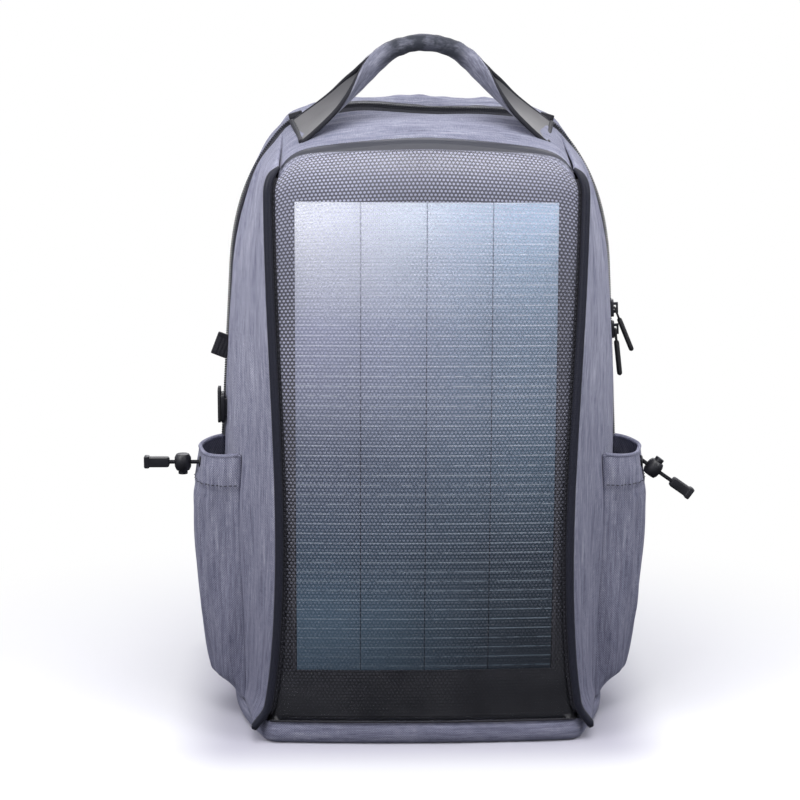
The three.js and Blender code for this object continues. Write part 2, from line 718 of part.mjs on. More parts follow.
const CABLE_PATHS = {
  panel_cable: [[-8.8, -52.5, 366], [-14, -49, 373], [-22, -44, 380], [-30, -43, 374.8]],
  usb_cable: [
    [-70, -43, 374.4], [-84, -41, 384], [-101, -34, 374], [-118, -8, 320], [-121, 14, 262],
    [-121, USB.y, 230],
  ],
};
for (const [name, points] of Object.entries(CABLE_PATHS)) {
  bag.add(part(name, cable(points), HARD_BLACK));
}
bag.add(part('usb_port', usbPort(), HARD_BLACK));
bag.add(part('usb_port_cap', usbCap(), BINDING));

const zipTab = sewnTab(18, 9).rotateX(Math.PI / 2).rotateY(Math.PI);
bag.add(part('left_zip_tab', zipTab.translate(-142.6, 33, 268), BINDING));
bag.add(part('grab_handle', handleGrip(), MELANGE));

bag.add(part('back_zip_half', zipHalf(doorZip, ZIP_Y + 0.2, ZIP_Y + 3.6), ZIP_BLACK));
bag.add(part('door_gusset', skin(doorFace, SKIN, 36, 4), MELANGE));
bag.add(part('back_panel', backPanel(), LINING));
bag.add(part('laptop_sleeve', laptopSleeve(), LINING));
bag.add(part('luggage_belt', luggageBelt(), MESH_GREY));
bag.add(part('lumbar_pad', backPad(208, 56, 10).translate(0, BACK_Y + GAP, 84), MESH_GREY));

for (const [label, side] of [['left', -1], ['right', 1]]) {
  const gusset = skin(sideFace, SKIN, 18, 4);
  const shoulderTab = sewnTab(8, 12).rotateY(-0.9).translate(104.4, 30, 431.4);
  const atLock = (geometry) => geometry.translate(LOCK_AT.x, LOCK_AT.y, LOCK_AT.z);
  bag.add(onSide(side,
    part(`${label}_gusset`, label === 'left' ? cut(gusset, usbHole()) : gusset, MELANGE),
    part(`${label}_piping`, piping(), BINDING),
    part(`${label}_pocket`, pocketSheet(), MELANGE),
    part(`${label}_shoulder_tab`, shoulderTab, BINDING),
    part(`${label}_handle_tab`, handleTab(), MELANGE),
    part(`${label}_back_pad`, backPad(84, 168, 10).translate(62, BACK_Y + GAP, 274), MESH_GREY),
    part(`${label}_shoulder_pad`, shoulderPad(), MELANGE),
    part(`${label}_ladder_lock`, atLock(ladderLock()), HARD_BLACK),
    part(`${label}_webbing`, atLock(strapWebbing()), BINDING),
    part(`${label}_wing_tab`, wingTab(), BINDING),
  ));
}

// The right-hand cord droops; the left-hand one stands straight out.
const rightCord = drawcord('right', 3, 26);
rightCord.position.set(CORD_START, EYELET.y, EYELET.z);
rightCord.rotation.y = THREE.MathUtils.degToRad(35);
const leftCord = drawcord('left', 4, 20);
leftCord.position.set(-CORD_START, EYELET.y, EYELET.z);
leftCord.rotation.y = Math.PI;
bag.add(rightCord, leftCord);

for (const [name, z, swing] of [['upper', 297, 20], ['lower', 281, 4]]) {
  const tongue = new THREE.Group().add(part(`${name}_zip_pull`, pull(), HARD_BLACK));
  tongue.position.set(3.3, 0, 0);
  tongue.rotation.y = -THREE.MathUtils.degToRad(swing);
  bag.add(onZip(z, part(`${name}_slider`, slider(), HARD_BLACK), tongue));
}

export default bag;
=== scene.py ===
"""Looks of the solar backpack: heather fabric shell, solar face, zip, pockets, handle and straps.

Lengths are millimetres in the shared frame and become metres when a mesh is made. Inside a
material they are metres.
"""

import math

import bmesh
import bpy
import numpy as np
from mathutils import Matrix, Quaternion, Vector

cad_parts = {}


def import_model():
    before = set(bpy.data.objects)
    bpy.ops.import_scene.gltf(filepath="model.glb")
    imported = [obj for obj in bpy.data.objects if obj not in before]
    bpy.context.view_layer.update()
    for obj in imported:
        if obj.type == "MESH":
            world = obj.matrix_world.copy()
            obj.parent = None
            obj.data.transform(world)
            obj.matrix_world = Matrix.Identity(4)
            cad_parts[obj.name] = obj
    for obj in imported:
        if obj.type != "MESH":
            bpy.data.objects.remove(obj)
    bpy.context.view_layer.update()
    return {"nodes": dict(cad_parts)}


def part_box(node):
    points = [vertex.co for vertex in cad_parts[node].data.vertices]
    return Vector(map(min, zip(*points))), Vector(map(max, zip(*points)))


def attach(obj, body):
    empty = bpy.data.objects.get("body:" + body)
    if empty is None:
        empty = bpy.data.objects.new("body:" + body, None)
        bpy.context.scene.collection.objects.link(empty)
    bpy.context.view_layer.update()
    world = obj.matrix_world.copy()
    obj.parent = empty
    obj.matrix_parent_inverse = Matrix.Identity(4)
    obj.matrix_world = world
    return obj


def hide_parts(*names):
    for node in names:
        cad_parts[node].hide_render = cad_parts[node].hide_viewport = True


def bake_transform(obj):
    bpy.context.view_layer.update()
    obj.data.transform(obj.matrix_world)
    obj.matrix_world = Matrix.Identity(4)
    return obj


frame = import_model()
NODES = frame["nodes"]
MM = 0.001

# ---------- driving dimensions ----------

ZIP_Y = 41.0                 # plane between the shell and the back door
BACK_Y = 76.0                # rear face of the back door
ZIP_TOP = 443.0
PIPING_R = 3.5
THREAD_LENGTH, THREAD_GAP, THREAD_R = 2.5, 1.1, 0.34
MIDDLE = np.array([0.0, 0.0, 210.0])         # a point inside the bag; sheets face away from it
X, Y, Z = np.eye(3)
SIDES = ((-1, "left"), (1, "right"))


def box_mm(node):
    """The low and high corner of a CAD node."""
    return [np.array(corner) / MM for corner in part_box(node)]


# ---------- curves ----------


def bezier(points, t):
    rows = [np.asarray(p, float) for p in points]
    t = np.asarray(t)[:, None]
    while len(rows) > 1:
        rows = [a * (1 - t) + b * t for a, b in zip(rows, rows[1:])]
    return rows[0]


def gaps_of(path):
    return np.linalg.norm(np.diff(path, axis=0), axis=1)


def lengths(path):
    """The distance along a path at each of its points."""
    return np.concatenate([[0], gaps_of(path).cumsum()])


def read(rows, along, at):
    """Rows of numbers, read between their places."""
    return np.stack([np.interp(at, along, column) for column in rows.T], -1)


def resample(path, count=None, step=None):
    """The same path with evenly spaced points."""
    path = path[np.concatenate([[True], gaps_of(path) > 1e-9])]
    along = lengths(path)
    count = count or max(2, int(round(along[-1] / step)) + 1)
    return read(path, along, np.linspace(0, along[-1], count))


class Outline:
    """A chain of Bezier pieces, read by the share of its length."""

    def __init__(self, *pieces):
        rows = [bezier(p, np.linspace(0, 1, 160)) for p in pieces]
        self.points = np.concatenate([rows[0]] + [r[1:] for r in rows[1:]])
        along = lengths(self.points)
        self.share = along / along[-1]

    def at(self, t):
        return [np.interp(t, self.share, column) for column in self.points.T]

    def normal(self, t):
        d = 2e-3
        (ax, az), (bx, bz) = self.at(np.clip(t - d, 0, 1)), self.at(np.clip(t + d, 0, 1))
        size = np.hypot(bx - ax, bz - az) + 1e-12
        return (bz - az) / size, (ax - bx) / size


def spline(points, count):
    """A centripetal Catmull-Rom curve through points, as count points evenly spaced."""
    p = np.asarray(points, float)
    p = np.vstack([2 * p[0] - p[1], p, 2 * p[-1] - p[-2]])
    rows = []
    for a, b, c, d in zip(p, p[1:], p[2:], p[3:]):
        steps = [max(np.linalg.norm(y - x) ** 0.5, 1e-6) for x, y in ((a, b), (b, c), (c, d))]
        k = np.cumsum([0] + steps)
        t = np.linspace(k[1], k[2], 40)[:, None]

        def between(p, q, i, j, k=k, t=t):
            return (k[j] - t) / (k[j] - k[i]) * p + (t - k[i]) / (k[j] - k[i]) * q

        ab, bc, cd = between(a, b, 0, 1), between(b, c, 1, 2), between(c, d, 2, 3)
        rows.append(between(between(ab, bc, 0, 2), between(bc, cd, 1, 3), 1, 2))
    return resample(np.concatenate(rows), count=count)


def unit(v):
    return v / (np.linalg.norm(v, axis=-1, keepdims=True) + 1e-12)


def smooth(x, low, high):
    t = np.clip((x - low) / (high - low), 0, 1)
    return t * t * (3 - 2 * t)


def pinch(x, width):
    """0 at a seam, 1 away from it."""
    return 1 - np.exp(-np.maximum(x, 0) / width)


def groove(x, width):
    """1 on a line, falling to 0 beside it."""
    return np.exp(-((x / width) ** 2))


def ripple(p, scale, seed, stretch=(1, 1, 1)):
    """Smooth wavy noise of about -1 to 1, its waves about scale long and stretched per axis."""
    rng = np.random.default_rng(seed)
    q = p / np.asarray(stretch, float)
    total = np.zeros(p.shape[:-1])
    for _ in range(7):
        direction = unit(rng.normal(size=3))
        k = 2 * math.pi / scale * rng.uniform(0.6, 1.5)
        total += np.sin(q @ direction * k + rng.uniform(0, 6.28))
    return total / 3.2


# ---------- outlines of the bag, right half, as (x, z) ----------

FRONT_SEAM = Outline(
    [(117, 13), (110, 42), (106, 80), (105, 140)],
    [(105, 140), (104, 220), (111, 300), (111.5, 390)],
    [(111.5, 390), (111.5, 405), (102, 411)],
)


def zip_side(foot):
    return Outline(
        [foot, (foot[0] + 4, foot[1] + 40), (147, 120), (147, 180)],
        [(147, 180), (138.5, 326)],
        [(138.5, 326), (136, 372), (124, 401), (101, 427)],
    )


SHELL_ZIP = zip_side((139, 14))
DOOR_ZIP = zip_side((141, 30))
CROWN = Outline([(101, 427), (89, 440), (56, ZIP_TOP), (0, ZIP_TOP)])
BACK_SIDE = Outline(
    [(131, 30), (136, 60), (140, 110), (140, 180)],
    [(140, 180), (131, 322)],
    [(131, 322), (128, 364), (114, 390), (98, 415)],
)
BACK_CROWN = Outline([(98, 415), (86, 430), (54, 436), (0, 436)])
SIDE_SHARE = 0.8             # share of a hoop's height that its side takes; the crown has the rest


def hoop(side, crown, u):
    """x, z and outward normal of an outline from its left foot (0) over the top to its right (1)."""
    height = 1 - np.abs(2 * u - 1)
    mirror = np.where(u < 0.5, -1.0, 1.0)
    t_side = np.clip(height / SIDE_SHARE, 0, 1)
    t_crown = np.clip((height - SIDE_SHARE) / (1 - SIDE_SHARE), 0, 1)
    x, z, nx, nz = [
        np.where(height < SIDE_SHARE, a, b)
        for a, b in zip((*side.at(t_side), *side.normal(t_side)),
                        (*crown.at(t_crown), *crown.normal(t_crown)))
    ]
    return mirror * x, z, mirror * nx, nz


def face_y(x, z):
    """The solar face's relief: leaning back, bowed forwards in the middle, rolled over at its top."""
    height = np.clip((z - 15) / 400, 0, 1)
    roll = 9 * np.maximum(0, (z - 392) / 24) ** 2
    return -67 + 14 * (height - 0.5) - 7 * np.sin(math.pi * height) - 4 * (1 - (x / 110) ** 2) + roll


def seam_at(t, inset):
    x, z = FRONT_SEAM.at(t)
    nx, nz = FRONT_SEAM.normal(t)
    return x - inset * nx, z - inset * nz


def brow(across):
    """The top edge of the solar face: a low arch with its corners cut down."""
    a = np.clip(np.abs(across), 0, 1)
    return 15.0 - 9.5 * a**1.6 - 10.0 * a**14


def solar_face(u, v, inset, depth):
    across = 2 * u - 1
    x, z = seam_at(v, inset)
    z = np.maximum(z, 17) + v**8 * brow(across)
    x = across * x
    return np.stack([x, face_y(x, z) + depth, z], -1)


def side_face(u, v):
    t = 0.006 + 0.994 * np.clip(u, -0.006, 1)
    fx, fz = FRONT_SEAM.at(t)
    rx, rz = SHELL_ZIP.at(t)
    nx, nz = SHELL_ZIP.normal(t)
    swell = 8 * np.sin(math.pi * v) * np.sin(math.pi * np.minimum(1, 0.12 + t))
    front = face_y(fx, fz) + 3.4
    x = fx + (rx - fx) * v + swell * nx
    z = fz + (rz - fz) * v + swell * nz
    return np.stack([x, front + (ZIP_Y - 5 - front) * v, z], -1)


def top_face(u, v):
    across = 2 * u - 1
    rx, rz = CROWN.at(1 - np.abs(across))
    reach = 101.5 * across
    front_z = 409.5 + brow(across)
    front = face_y(reach, front_z) + 6
    x = reach + (np.sign(across) * rx - reach) * v
    swell = 4 * np.sin(math.pi * v) * (1 - across**4)
    return np.stack([x, front + (ZIP_Y - 5 - front) * v, front_z + (rz - front_z) * v + swell], -1)


def door_face(u, v):
    fx, fz, _, fnz = hoop(DOOR_ZIP, CROWN, u)
    rx, rz, _, _ = hoop(BACK_SIDE, BACK_CROWN, u)
    turn = v * math.pi / 2
    inward = 1 - np.cos(turn)
    puff = 9 * np.sin(math.pi * np.clip(v * 1.05, 0, 1)) ** 1.2 * np.maximum(0, fnz) ** 0.7
    x = fx + (rx - fx) * inward
    y = ZIP_Y + 4 + (BACK_Y - 5 - ZIP_Y) * np.sin(turn)
    return np.stack([x, y, fz + (rz - fz) * inward + puff], -1)


# ---------- meshes ----------


def shade_smooth(obj, on=True):
    obj.data.polygons.foreach_set("use_smooth", [on] * len(obj.data.polygons))


def link(name, data):
    obj = bpy.data.objects.new(name, data)
    bpy.context.scene.collection.objects.link(obj)
    return obj


def mesh_object(name, verts, faces, materials, uvs=None, marks=None):
    """A smooth mesh from points and faces. marks is the material number of each face."""
    mesh = bpy.data.meshes.new(name)
    mesh.from_pydata((np.asarray(verts) * MM).tolist(), [], faces)
    for m in materials:
        mesh.materials.append(m)
    if marks is not None:
        mesh.polygons.foreach_set("material_index", marks)
    if uvs is not None:
        layer = mesh.uv_layers.new(name="UVMap")
        loops = np.zeros(len(mesh.loops), int)
        mesh.loops.foreach_get("vertex_index", loops)
        layer.data.foreach_set("uv", (np.asarray(uvs)[loops] * MM).ravel())
    obj = link(name, mesh)
    shade_smooth(obj)
    mesh.validate()
    return obj


def fix_normals(obj):
    bm = bmesh.new()
    bm.from_mesh(obj.data)
    bmesh.ops.recalc_face_normals(bm, faces=bm.faces)
    bm.to_mesh(obj.data)
    bm.free()
    return obj


def grid(fn, nu, nv, u_range=(0, 1), v_range=(0, 1)):
    return fn(*np.meshgrid(np.linspace(*u_range, nu), np.linspace(*v_range, nv), indexing="ij"))


def grid_faces(nu, nv):
    return [(i * nv + j, (i + 1) * nv + j, (i + 1) * nv + j + 1, i * nv + j + 1)
            for i in range(nu - 1) for j in range(nv - 1)]


def grid_uv(p):
    """U is the distance along each row of a grid, V the mean distance across the rows."""
    along_u = np.linalg.norm(np.diff(p, axis=0, prepend=p[:1]), axis=2).mean(1).cumsum()
    along_v = np.linalg.norm(np.diff(p, axis=1, prepend=p[:, :1]), axis=2).cumsum(1)
    return np.stack([along_v, np.broadcast_to(along_u[:, None], along_v.shape)], -1).reshape(-1, 2)


def thicken(obj, thickness, inner, rim=0):
    """Thickness on the inner side. inner and rim are the material numbers of those faces."""
    solid = obj.modifiers.new("Thickness", "SOLIDIFY")
    solid.thickness = thickness * MM
    solid.offset = -1
    solid.material_offset = inner
    solid.material_offset_rim = rim
    return obj


def sheet(name, p, materials, thickness, outward=None):
    """A cloth sheet through a grid of points, facing out."""
    faces = grid_faces(*p.shape[:2])
    n = np.cross(np.gradient(p, axis=0), np.gradient(p, axis=1))
    if np.sum(n * (p - MIDDLE if outward is None else outward)) < 0:
        faces = [f[::-1] for f in faces]
    obj = mesh_object(name, p.reshape(-1, 3), faces, materials, grid_uv(p))
    return thicken(obj, thickness, len(materials) - 1)


def frames(path, side=None):
    """Side and up vectors along a path. The side follows a given vector or is carried along."""
    tangent = unit(np.gradient(path, axis=0))
    if side is not None:
        s = np.broadcast_to(np.asarray(side, float), path.shape)
        s = unit(s - np.sum(s * tangent, -1, keepdims=True) * tangent)
    else:
        rows = [unit(np.cross(tangent[0], [0.3, 0.2, 1.0]))]
        for t in tangent[1:]:
            rows.append(unit(rows[-1] - (rows[-1] @ t) * t))
        s = np.array(rows)
    return s, np.cross(tangent, s)


def circle(sides):
    a = np.linspace(0, 2 * math.pi, sides, endpoint=False)
    return np.stack([np.cos(a), np.sin(a)], 1)


def flat_section():
    """A wide loop with rounded long edges, for webbing and tape."""
    a = np.linspace(-math.pi / 2, math.pi / 2, 6)
    right = np.stack([1 - 0.06 * (1 - np.cos(a)), np.sin(a)], 1)
    inner = [(x, 1.0) for x in (0.6, 0.2, -0.2, -0.6)]
    outer = [(x, -1.0) for x in (-0.6, -0.2, 0.2, 0.6)]
    return np.concatenate([right, inner, right[::-1] * [-1, 1], outer])


def sweep(name, path, section, width, height, materials, side=None, split=1.0):
    """A solid along a path. section is a loop of (across, up) points scaled by width and height.

    From the share split of the loop on, the faces take the second material.
    """
    n, k = len(path), len(section)
    s, up = frames(path, side)
    w, h = [np.broadcast_to(np.asarray(size, float), (n,))[:, None, None] for size in (width, height)]
    p = path[:, None] + s[:, None] * section[None, :, :1] * w + up[:, None] * section[None, :, 1:] * h
    faces = [(i * k + j, i * k + (j + 1) % k, (i + 1) * k + (j + 1) % k, (i + 1) * k + j)
             for i in range(n - 1) for j in range(k)]
    faces += [tuple(range(k))[::-1], tuple((n - 1) * k + j for j in range(k))]
    marks = [int(j / k >= split) for _ in range(n - 1) for j in range(k)] + [0, 0]
    uv = np.meshgrid(lengths(path), lengths(p[n // 2]), indexing="ij")[::-1]
    uv = np.stack(uv, -1).reshape(-1, 2)
    return fix_normals(mesh_object(name, p.reshape(-1, 3), faces, materials, uv, marks))


def tube(name, path, radius, material, sides=10):
    return sweep(name, path, circle(sides), radius, radius, [material])


def ribbon(name, path, half_width, half_height, material, side):
    return sweep(name, path, flat_section(), half_width, half_height, [material], side=side)


def stitches(name, rows, material):
    """Thread stitches lying on paths. Each row is (path, normal vectors)."""
    pitch = THREAD_LENGTH + THREAD_GAP
    verts, faces = [], []
    for path, normal in rows:
        both = np.concatenate([path, np.broadcast_to(normal, path.shape)], 1)
        along = lengths(path)
        for i in range(int(along[-1] / pitch)):
            start = i * pitch + 0.5 * THREAD_GAP
            q = read(both, along, start + THREAD_LENGTH * np.array([0, 0.25, 0.75, 1]))
            n = unit(q[:, 3:].mean(0))
            s = np.cross(unit(q[3, :3] - q[0, :3]), n)
            base = len(verts)
            verts.append(q[0, :3] - 0.4 * THREAD_R * n)
            for k in (1, 2):
                c = q[k, :3] + 0.35 * THREAD_R * n
                verts += [c + THREAD_R * (math.cos(a) * n + math.sin(a) * s)
                          for a in np.arange(5) * 1.2566]
            verts.append(q[3, :3] - 0.4 * THREAD_R * n)
            for k in range(5):
                m = (k + 1) % 5
                faces += [(base, base + 1 + m, base + 1 + k),
                          (base + 1 + k, base + 1 + m, base + 6 + m, base + 6 + k),
                          (base + 11, base + 6 + k, base + 6 + m)]
    return fix_normals(mesh_object(name, verts, faces, [material]))


# ---------- materials ----------


class Value:
    """A socket that takes part in sums."""

    def __init__(self, nodes, socket):
        self.nodes, self.socket = nodes, socket

    def __add__(self, other):
        return self.nodes.math("ADD", self, other)

    def __sub__(self, other):
        return self.nodes.math("SUBTRACT", self, other)

    def __rsub__(self, other):
        return self.nodes.math("SUBTRACT", other, self)

    def __mul__(self, other):
        return self.nodes.math("MULTIPLY", self, other)

    def __pow__(self, power):
        return self.nodes.math("POWER", self, power)

    def __abs__(self):
        return self.nodes.math("ABSOLUTE", self)

    __radd__, __rmul__ = __add__, __mul__


def opaque(colour):
    return colour if isinstance(colour, Value) else (*colour, 1)


def times(colour, factor):
    return tuple(factor * c for c in colour)


class Nodes:
    """A shader tree, built from short calls."""

    def __init__(self, tree):
        self.tree = tree
        tree.nodes.clear()

    def add(self, kind, out=0, settings=(), **inputs):
        """A node's output. An input goes by its name, _ standing for a space, or by i and its number."""
        n = self.tree.nodes.new("ShaderNode" + kind)
        for key, value in dict(settings).items():
            setattr(n, key, value)
        for key, value in inputs.items():
            socket = n.inputs[int(key[1:]) if key[1:].isdigit() else key.replace("_", " ")]
            if isinstance(value, Value):
                self.tree.links.new(value.socket, socket)
            else:
                socket.default_value = value
        return Value(self, n.outputs[out])

    def math(self, op, a, b=0.0):
        return self.add("Math", settings={"operation": op}, i0=a, i1=b)

    def sine(self, value):
        return self.math("SINE", value)

    def fract(self, value):
        return self.math("FRACT", value)

    def most(self, a, b):
        return self.math("MAXIMUM", a, b)

    def hypot(self, a, b):
        return self.math("SQRT", a * a + b * b)

    def split(self, vector):
        outputs = self.add("SeparateXYZ", i0=vector).socket.node.outputs
        return [Value(self, socket) for socket in outputs]

    def ramp(self, value, stops):
        ramp = self.add("ValToRGB", i0=value)
        elements = ramp.socket.node.color_ramp.elements
        while len(elements) < len(stops):
            elements.new(0.5)
        for element, (at, colour) in zip(elements, stops):
            element.position = at
            element.color = (*colour, 1)
        return ramp

    def mix(self, factor, a, b, blend="MIX"):
        settings = {"data_type": "RGBA", "blend_type": blend}
        return self.add("Mix", 2, settings, i0=factor, i6=opaque(a), i7=opaque(b))

    def span(self, value, low, high, to_low=0.0, to_high=1.0):
        settings = {"interpolation_type": "SMOOTHSTEP"}
        return self.add("MapRange", 0, settings, i0=value, i1=low, i2=high, i3=to_low, i4=to_high)

    def either(self, factor, a, b):
        """The first shader where the factor is 0, the second where it is 1."""
        return self.add("MixShader", i0=factor, i1=a, i2=b)


class Look(Nodes):
    """A material. x, y, z and place are the object's own coordinates."""

    def __init__(self, name):
        self.material = bpy.data.materials.new(name)
        self.material.use_nodes = True
        super().__init__(self.material.node_tree)
        self.uv = self.add("TexCoord", "UV")
        self.place = self.add("TexCoord", "Object")
        self.x, self.y, self.z = self.split(self.place)

    def noise(self, vector, scale, detail=2, rough=0.5):
        """Noise with its own scale along each axis, in waves per metre."""
        scale = scale if isinstance(scale, tuple) else (scale,) * 3
        vector = self.add("VectorMath", settings={"operation": "MULTIPLY"}, i0=vector, i1=scale)
        return self.add("TexNoise", Vector=vector, Scale=1, Detail=detail, Roughness=rough)

    def tinted(self, factor, colour, low, high):
        return self.mix(factor, times(colour, low), times(colour, high))

    def bump(self, height, strength, depth):
        return self.add("Bump", Height=height, Strength=strength, Distance=depth * MM)

    def surface(self, shader):
        out = self.tree.nodes.new("ShaderNodeOutputMaterial")
        self.tree.links.new(shader.socket, out.inputs[0])
        return self.material

    def finish(self, colour, height, strength, depth, **inputs):
        """A principled surface with a bump."""
        return self.surface(self.add(
            "BsdfPrincipled", Base_Color=colour, Normal=self.bump(height, strength, depth), **inputs))


CLOTH_TONES = ((0.46, (0.085, 0.087, 0.135)), (0.64, (0.21, 0.215, 0.30)),
               (0.80, (0.35, 0.355, 0.455)), (0.98, (0.58, 0.585, 0.68)))
WEAVE_PITCH = 0.0018


def heather(name="Heather fabric", dark=1.0):
    """Plain-woven grey-lilac melange, its slubs running along V, with painted light: darker towards the
    foot, lighter high up, and a painted shade on the top panel.
    """
    k = Look(name)
    fine = k.noise(k.uv, (1500, 110, 1), 3, 0.7)
    slub = k.noise(k.uv, (420, 26, 1))
    weft = k.noise(k.uv, (150, 1500, 1), 2, 0.6)
    patch = k.noise(k.uv, (26, 9, 1))
    tone = patch * 0.22 + (fine * 0.55 + (slub * 0.42 + weft * 0.28))
    colour = k.ramp(tone, [(stop, times(c, dark)) for stop, c in CLOTH_TONES])
    # Painted light: the cloth darkens towards the foot and lightens up to 0.37 m; above 0.40-0.425 m a
    # flat painted shade takes over on the top panel.
    tone = k.mix(k.span(k.z, 0.02, 0.37), (0.66, 0.66, 0.69), (1.24, 1.24, 1.22))
    tone = k.mix(k.span(k.z, 0.400, 0.425), tone, (0.85, 0.86, 0.86))
    colour = k.mix(1.0, colour, tone, "MULTIPLY")
    warp, fill = [k.sine(along * (2 * math.pi / WEAVE_PITCH)) for along in k.split(k.uv)[:2]]
    thread = k.mix(k.span(warp * fill, -0.8, 0.8), (0.70, 0.70, 0.72), (1.30, 1.30, 1.28))
    colour = k.mix(1.0, colour, thread, "MULTIPLY")
    return k.finish(
        colour, fine + weft * 0.8, 0.45, 0.35, Roughness=k.span(patch, 0.3, 0.7, 0.82, 0.95),
        Sheen_Weight=0.25, Sheen_Roughness=0.4, Sheen_Tint=(0.8, 0.8, 1, 1), Specular_IOR_Level=0.2)


def lining(name, colour, shine=0.55):
    k = Look(name)
    u, v, _ = k.split(k.uv)
    patch = k.noise(k.place, 30, 3)
    return k.finish(
        k.tinted(patch, colour, 0.75, 1.3), k.sine(u * 3400) * k.sine(v * 3400), 0.25, 0.15,
        Roughness=k.span(patch, 0.3, 0.7, shine, shine + 0.2), Sheen_Weight=0.1)


def ribbed(name, colour, ribs=2600, across=900, shine=0.6, strength=0.5):
    """Webbing or binding: ribs across its length with a finer grain along it."""
    k = Look(name)
    u, v, _ = k.split(k.uv)
    grain = k.noise(k.place, 900, 3)
    height = k.sine(v * ribs) * 0.5 + (k.sine(u * across) * 0.35 + grain * 0.6)
    return k.finish(
        k.tinted(grain, colour, 0.55, 1.5), height, strength, 0.3,
        Roughness=k.span(grain, 0.3, 0.7, shine - 0.1, shine + 0.12),
        Specular_IOR_Level=0.2, Sheen_Weight=0.05)


def moulded(name, colour, shine=0.38, strength=0.12, metal=0.0):
    """Moulded plastic, rubber or metal: fine grain, faint smudges and rubbed patches."""
    k = Look(name)
    smudge = k.noise(k.place, 60, 4, 0.6)
    return k.finish(
        k.tinted(k.span(smudge, 0.35, 0.75), colour, 0.8, 1.25), k.noise(k.place, 1400), strength,
        0.15, Roughness=k.span(smudge, 0.3, 0.75, shine, shine + 0.18), Metallic=metal,
        Specular_IOR_Level=0.5)


def beads(k, x, y, pitch, row, half):
    """1 inside the beads of a staggered pattern, 0 between them. half is a share of the pitch."""
    r = y * (1 / (row * MM))
    stagger = k.math("FLOORED_MODULO", k.math("FLOOR", r), 2.0) * 0.5
    c = k.fract(x * (1 / (pitch * MM)) + stagger)
    d = k.hypot((c - 0.5) * (1 / half), (k.fract(r) - 0.5) * (1 / half))
    return k.span(d, 0.75, 1.15, 1.0, 0.0)


def spacer(name, colour, pitch=2.6):
    """Spacer mesh: staggered round holes in a soft knit."""
    k = Look(name)
    hole = beads(k, k.x, k.z, pitch, pitch * 0.86, 0.36)
    solid = k.tinted(k.noise(k.place, 45, 3), colour, 0.75, 1.25)
    # Painted shade: the holes are coloured at 0.18 of the knit's tone.
    return k.finish(
        k.mix(hole, solid, times(colour, 0.18)), hole * -1.0 + k.noise(k.place, 1800) * 0.35,
        0.7, 0.6, Roughness=0.9, Sheen_Weight=0.25)


FACE_INSET = 2 * PIPING_R - 2.2
face_rows = grid(lambda v, u: solar_face(u, v, FACE_INSET, 0), 150, 60)
FILM_LENGTH = float(np.linalg.norm(np.diff(face_rows, axis=0), axis=2).mean(1).sum())
BEAD_PITCH, BEAD_ROW = 2.75, 2.4


def painted_reflection_rise(k):
    """Mask of the painted reflection: how much of the bright surroundings the tilted face would take up,
    0 at its foot, 1 at its top.
    """
    return k.span(k.z, 0.02, 0.43)


def film_look():
    """Clear textured film: staggered raised beads over a faint haze, smooth where it folds over. The
    beads and haze carry a painted reflection, brightest at the top left, and a painted shade beside the
    piping.
    """
    k = Look("Textured film")
    v = k.split(k.uv)[1]
    rise = painted_reflection_rise(k)
    bead = beads(k, k.x, v, BEAD_PITCH, BEAD_ROW, 0.34)
    bow = k.x * k.x * 0.85 - 0.0016
    plain = k.span(FILM_LENGTH * MM - v + bow, 0.0012, -0.0004)
    # Painted reflection: brighter on the left, dimmer to the right except high up.
    right = k.most(k.span(k.x, -0.09, 0.10, 1.0, 0.66), k.span(k.z, 0.26, 0.40, 0.0, 0.85))
    # Painted shade: the beads dim within 3 mm of the film's side edges, beside the piping.
    rim = k.span(k.z, 0.14, 0.38, 0.0985, 0.1050) + k.span(k.z, 0.12, 0.02, 0.0, 0.008)
    rim = k.span(rim - abs(k.x), 0.0, 0.003, 0.35, 1.0)
    # Painted reflection: the haze and the beads brighten towards the top of the face.
    haze = rise**1.5 * 0.15 + 0.002
    bead_reflection = rise**0.8 * 0.47 + 0.035
    lift = k.span(k.noise(k.place, 14), 0.3, 0.7, 0.85, 1.15)
    outer = 1.0 - k.add("NewGeometry", "Backfacing")
    cover = k.most((bead * bead_reflection + haze) * right * rim * lift, plain * 0.95) * outer
    # The pale lilac of the beads is the painted reflection's colour; the smooth fold-over band stays
    # near black.
    tint = k.mix(plain, (0.62, 0.63, 0.80), (0.050, 0.052, 0.066))
    body = k.add("BsdfDiffuse", Color=tint, Normal=k.bump(bead, 0.35, 0.25))
    film = k.either(cover, k.add("BsdfTransparent", Color=(1, 1, 1, 1)), body)
    shine = k.add("BsdfGlossy", Color=(1, 1, 1, 1), Roughness=0.25, Normal=k.bump(bead, 0.8, 0.25))
    glance = k.add("LayerWeight", 1, Blend=0.25) * 0.08 + 0.012
    return k.surface(k.either(glance * outer, film, shine))


# Cell colour with a painted reflection, by height: dark teal at the foot, pale at the top, brighter on
# the left than the right.
CELL_LEFT_AND_REFLECTION = ((0.078, (0.078, 0.128, 0.178)), (0.14, (0.048, 0.078, 0.114)),
             (0.208, (0.088, 0.108, 0.156)), (0.30, (0.33, 0.35, 0.46)), (0.375, (0.95, 0.97, 1.0)))
CELL_RIGHT_AND_REFLECTION = ((0.078, (0.019, 0.026, 0.033)), (0.14, (0.024, 0.038, 0.052)),
              (0.208, (0.075, 0.118, 0.163)), (0.30, (0.18, 0.25, 0.33)), (0.375, (0.45, 0.58, 0.73)))
CELL_TOP = 0.44              # height at which a cell's ramp ends
FINGER_PITCH = 0.00695


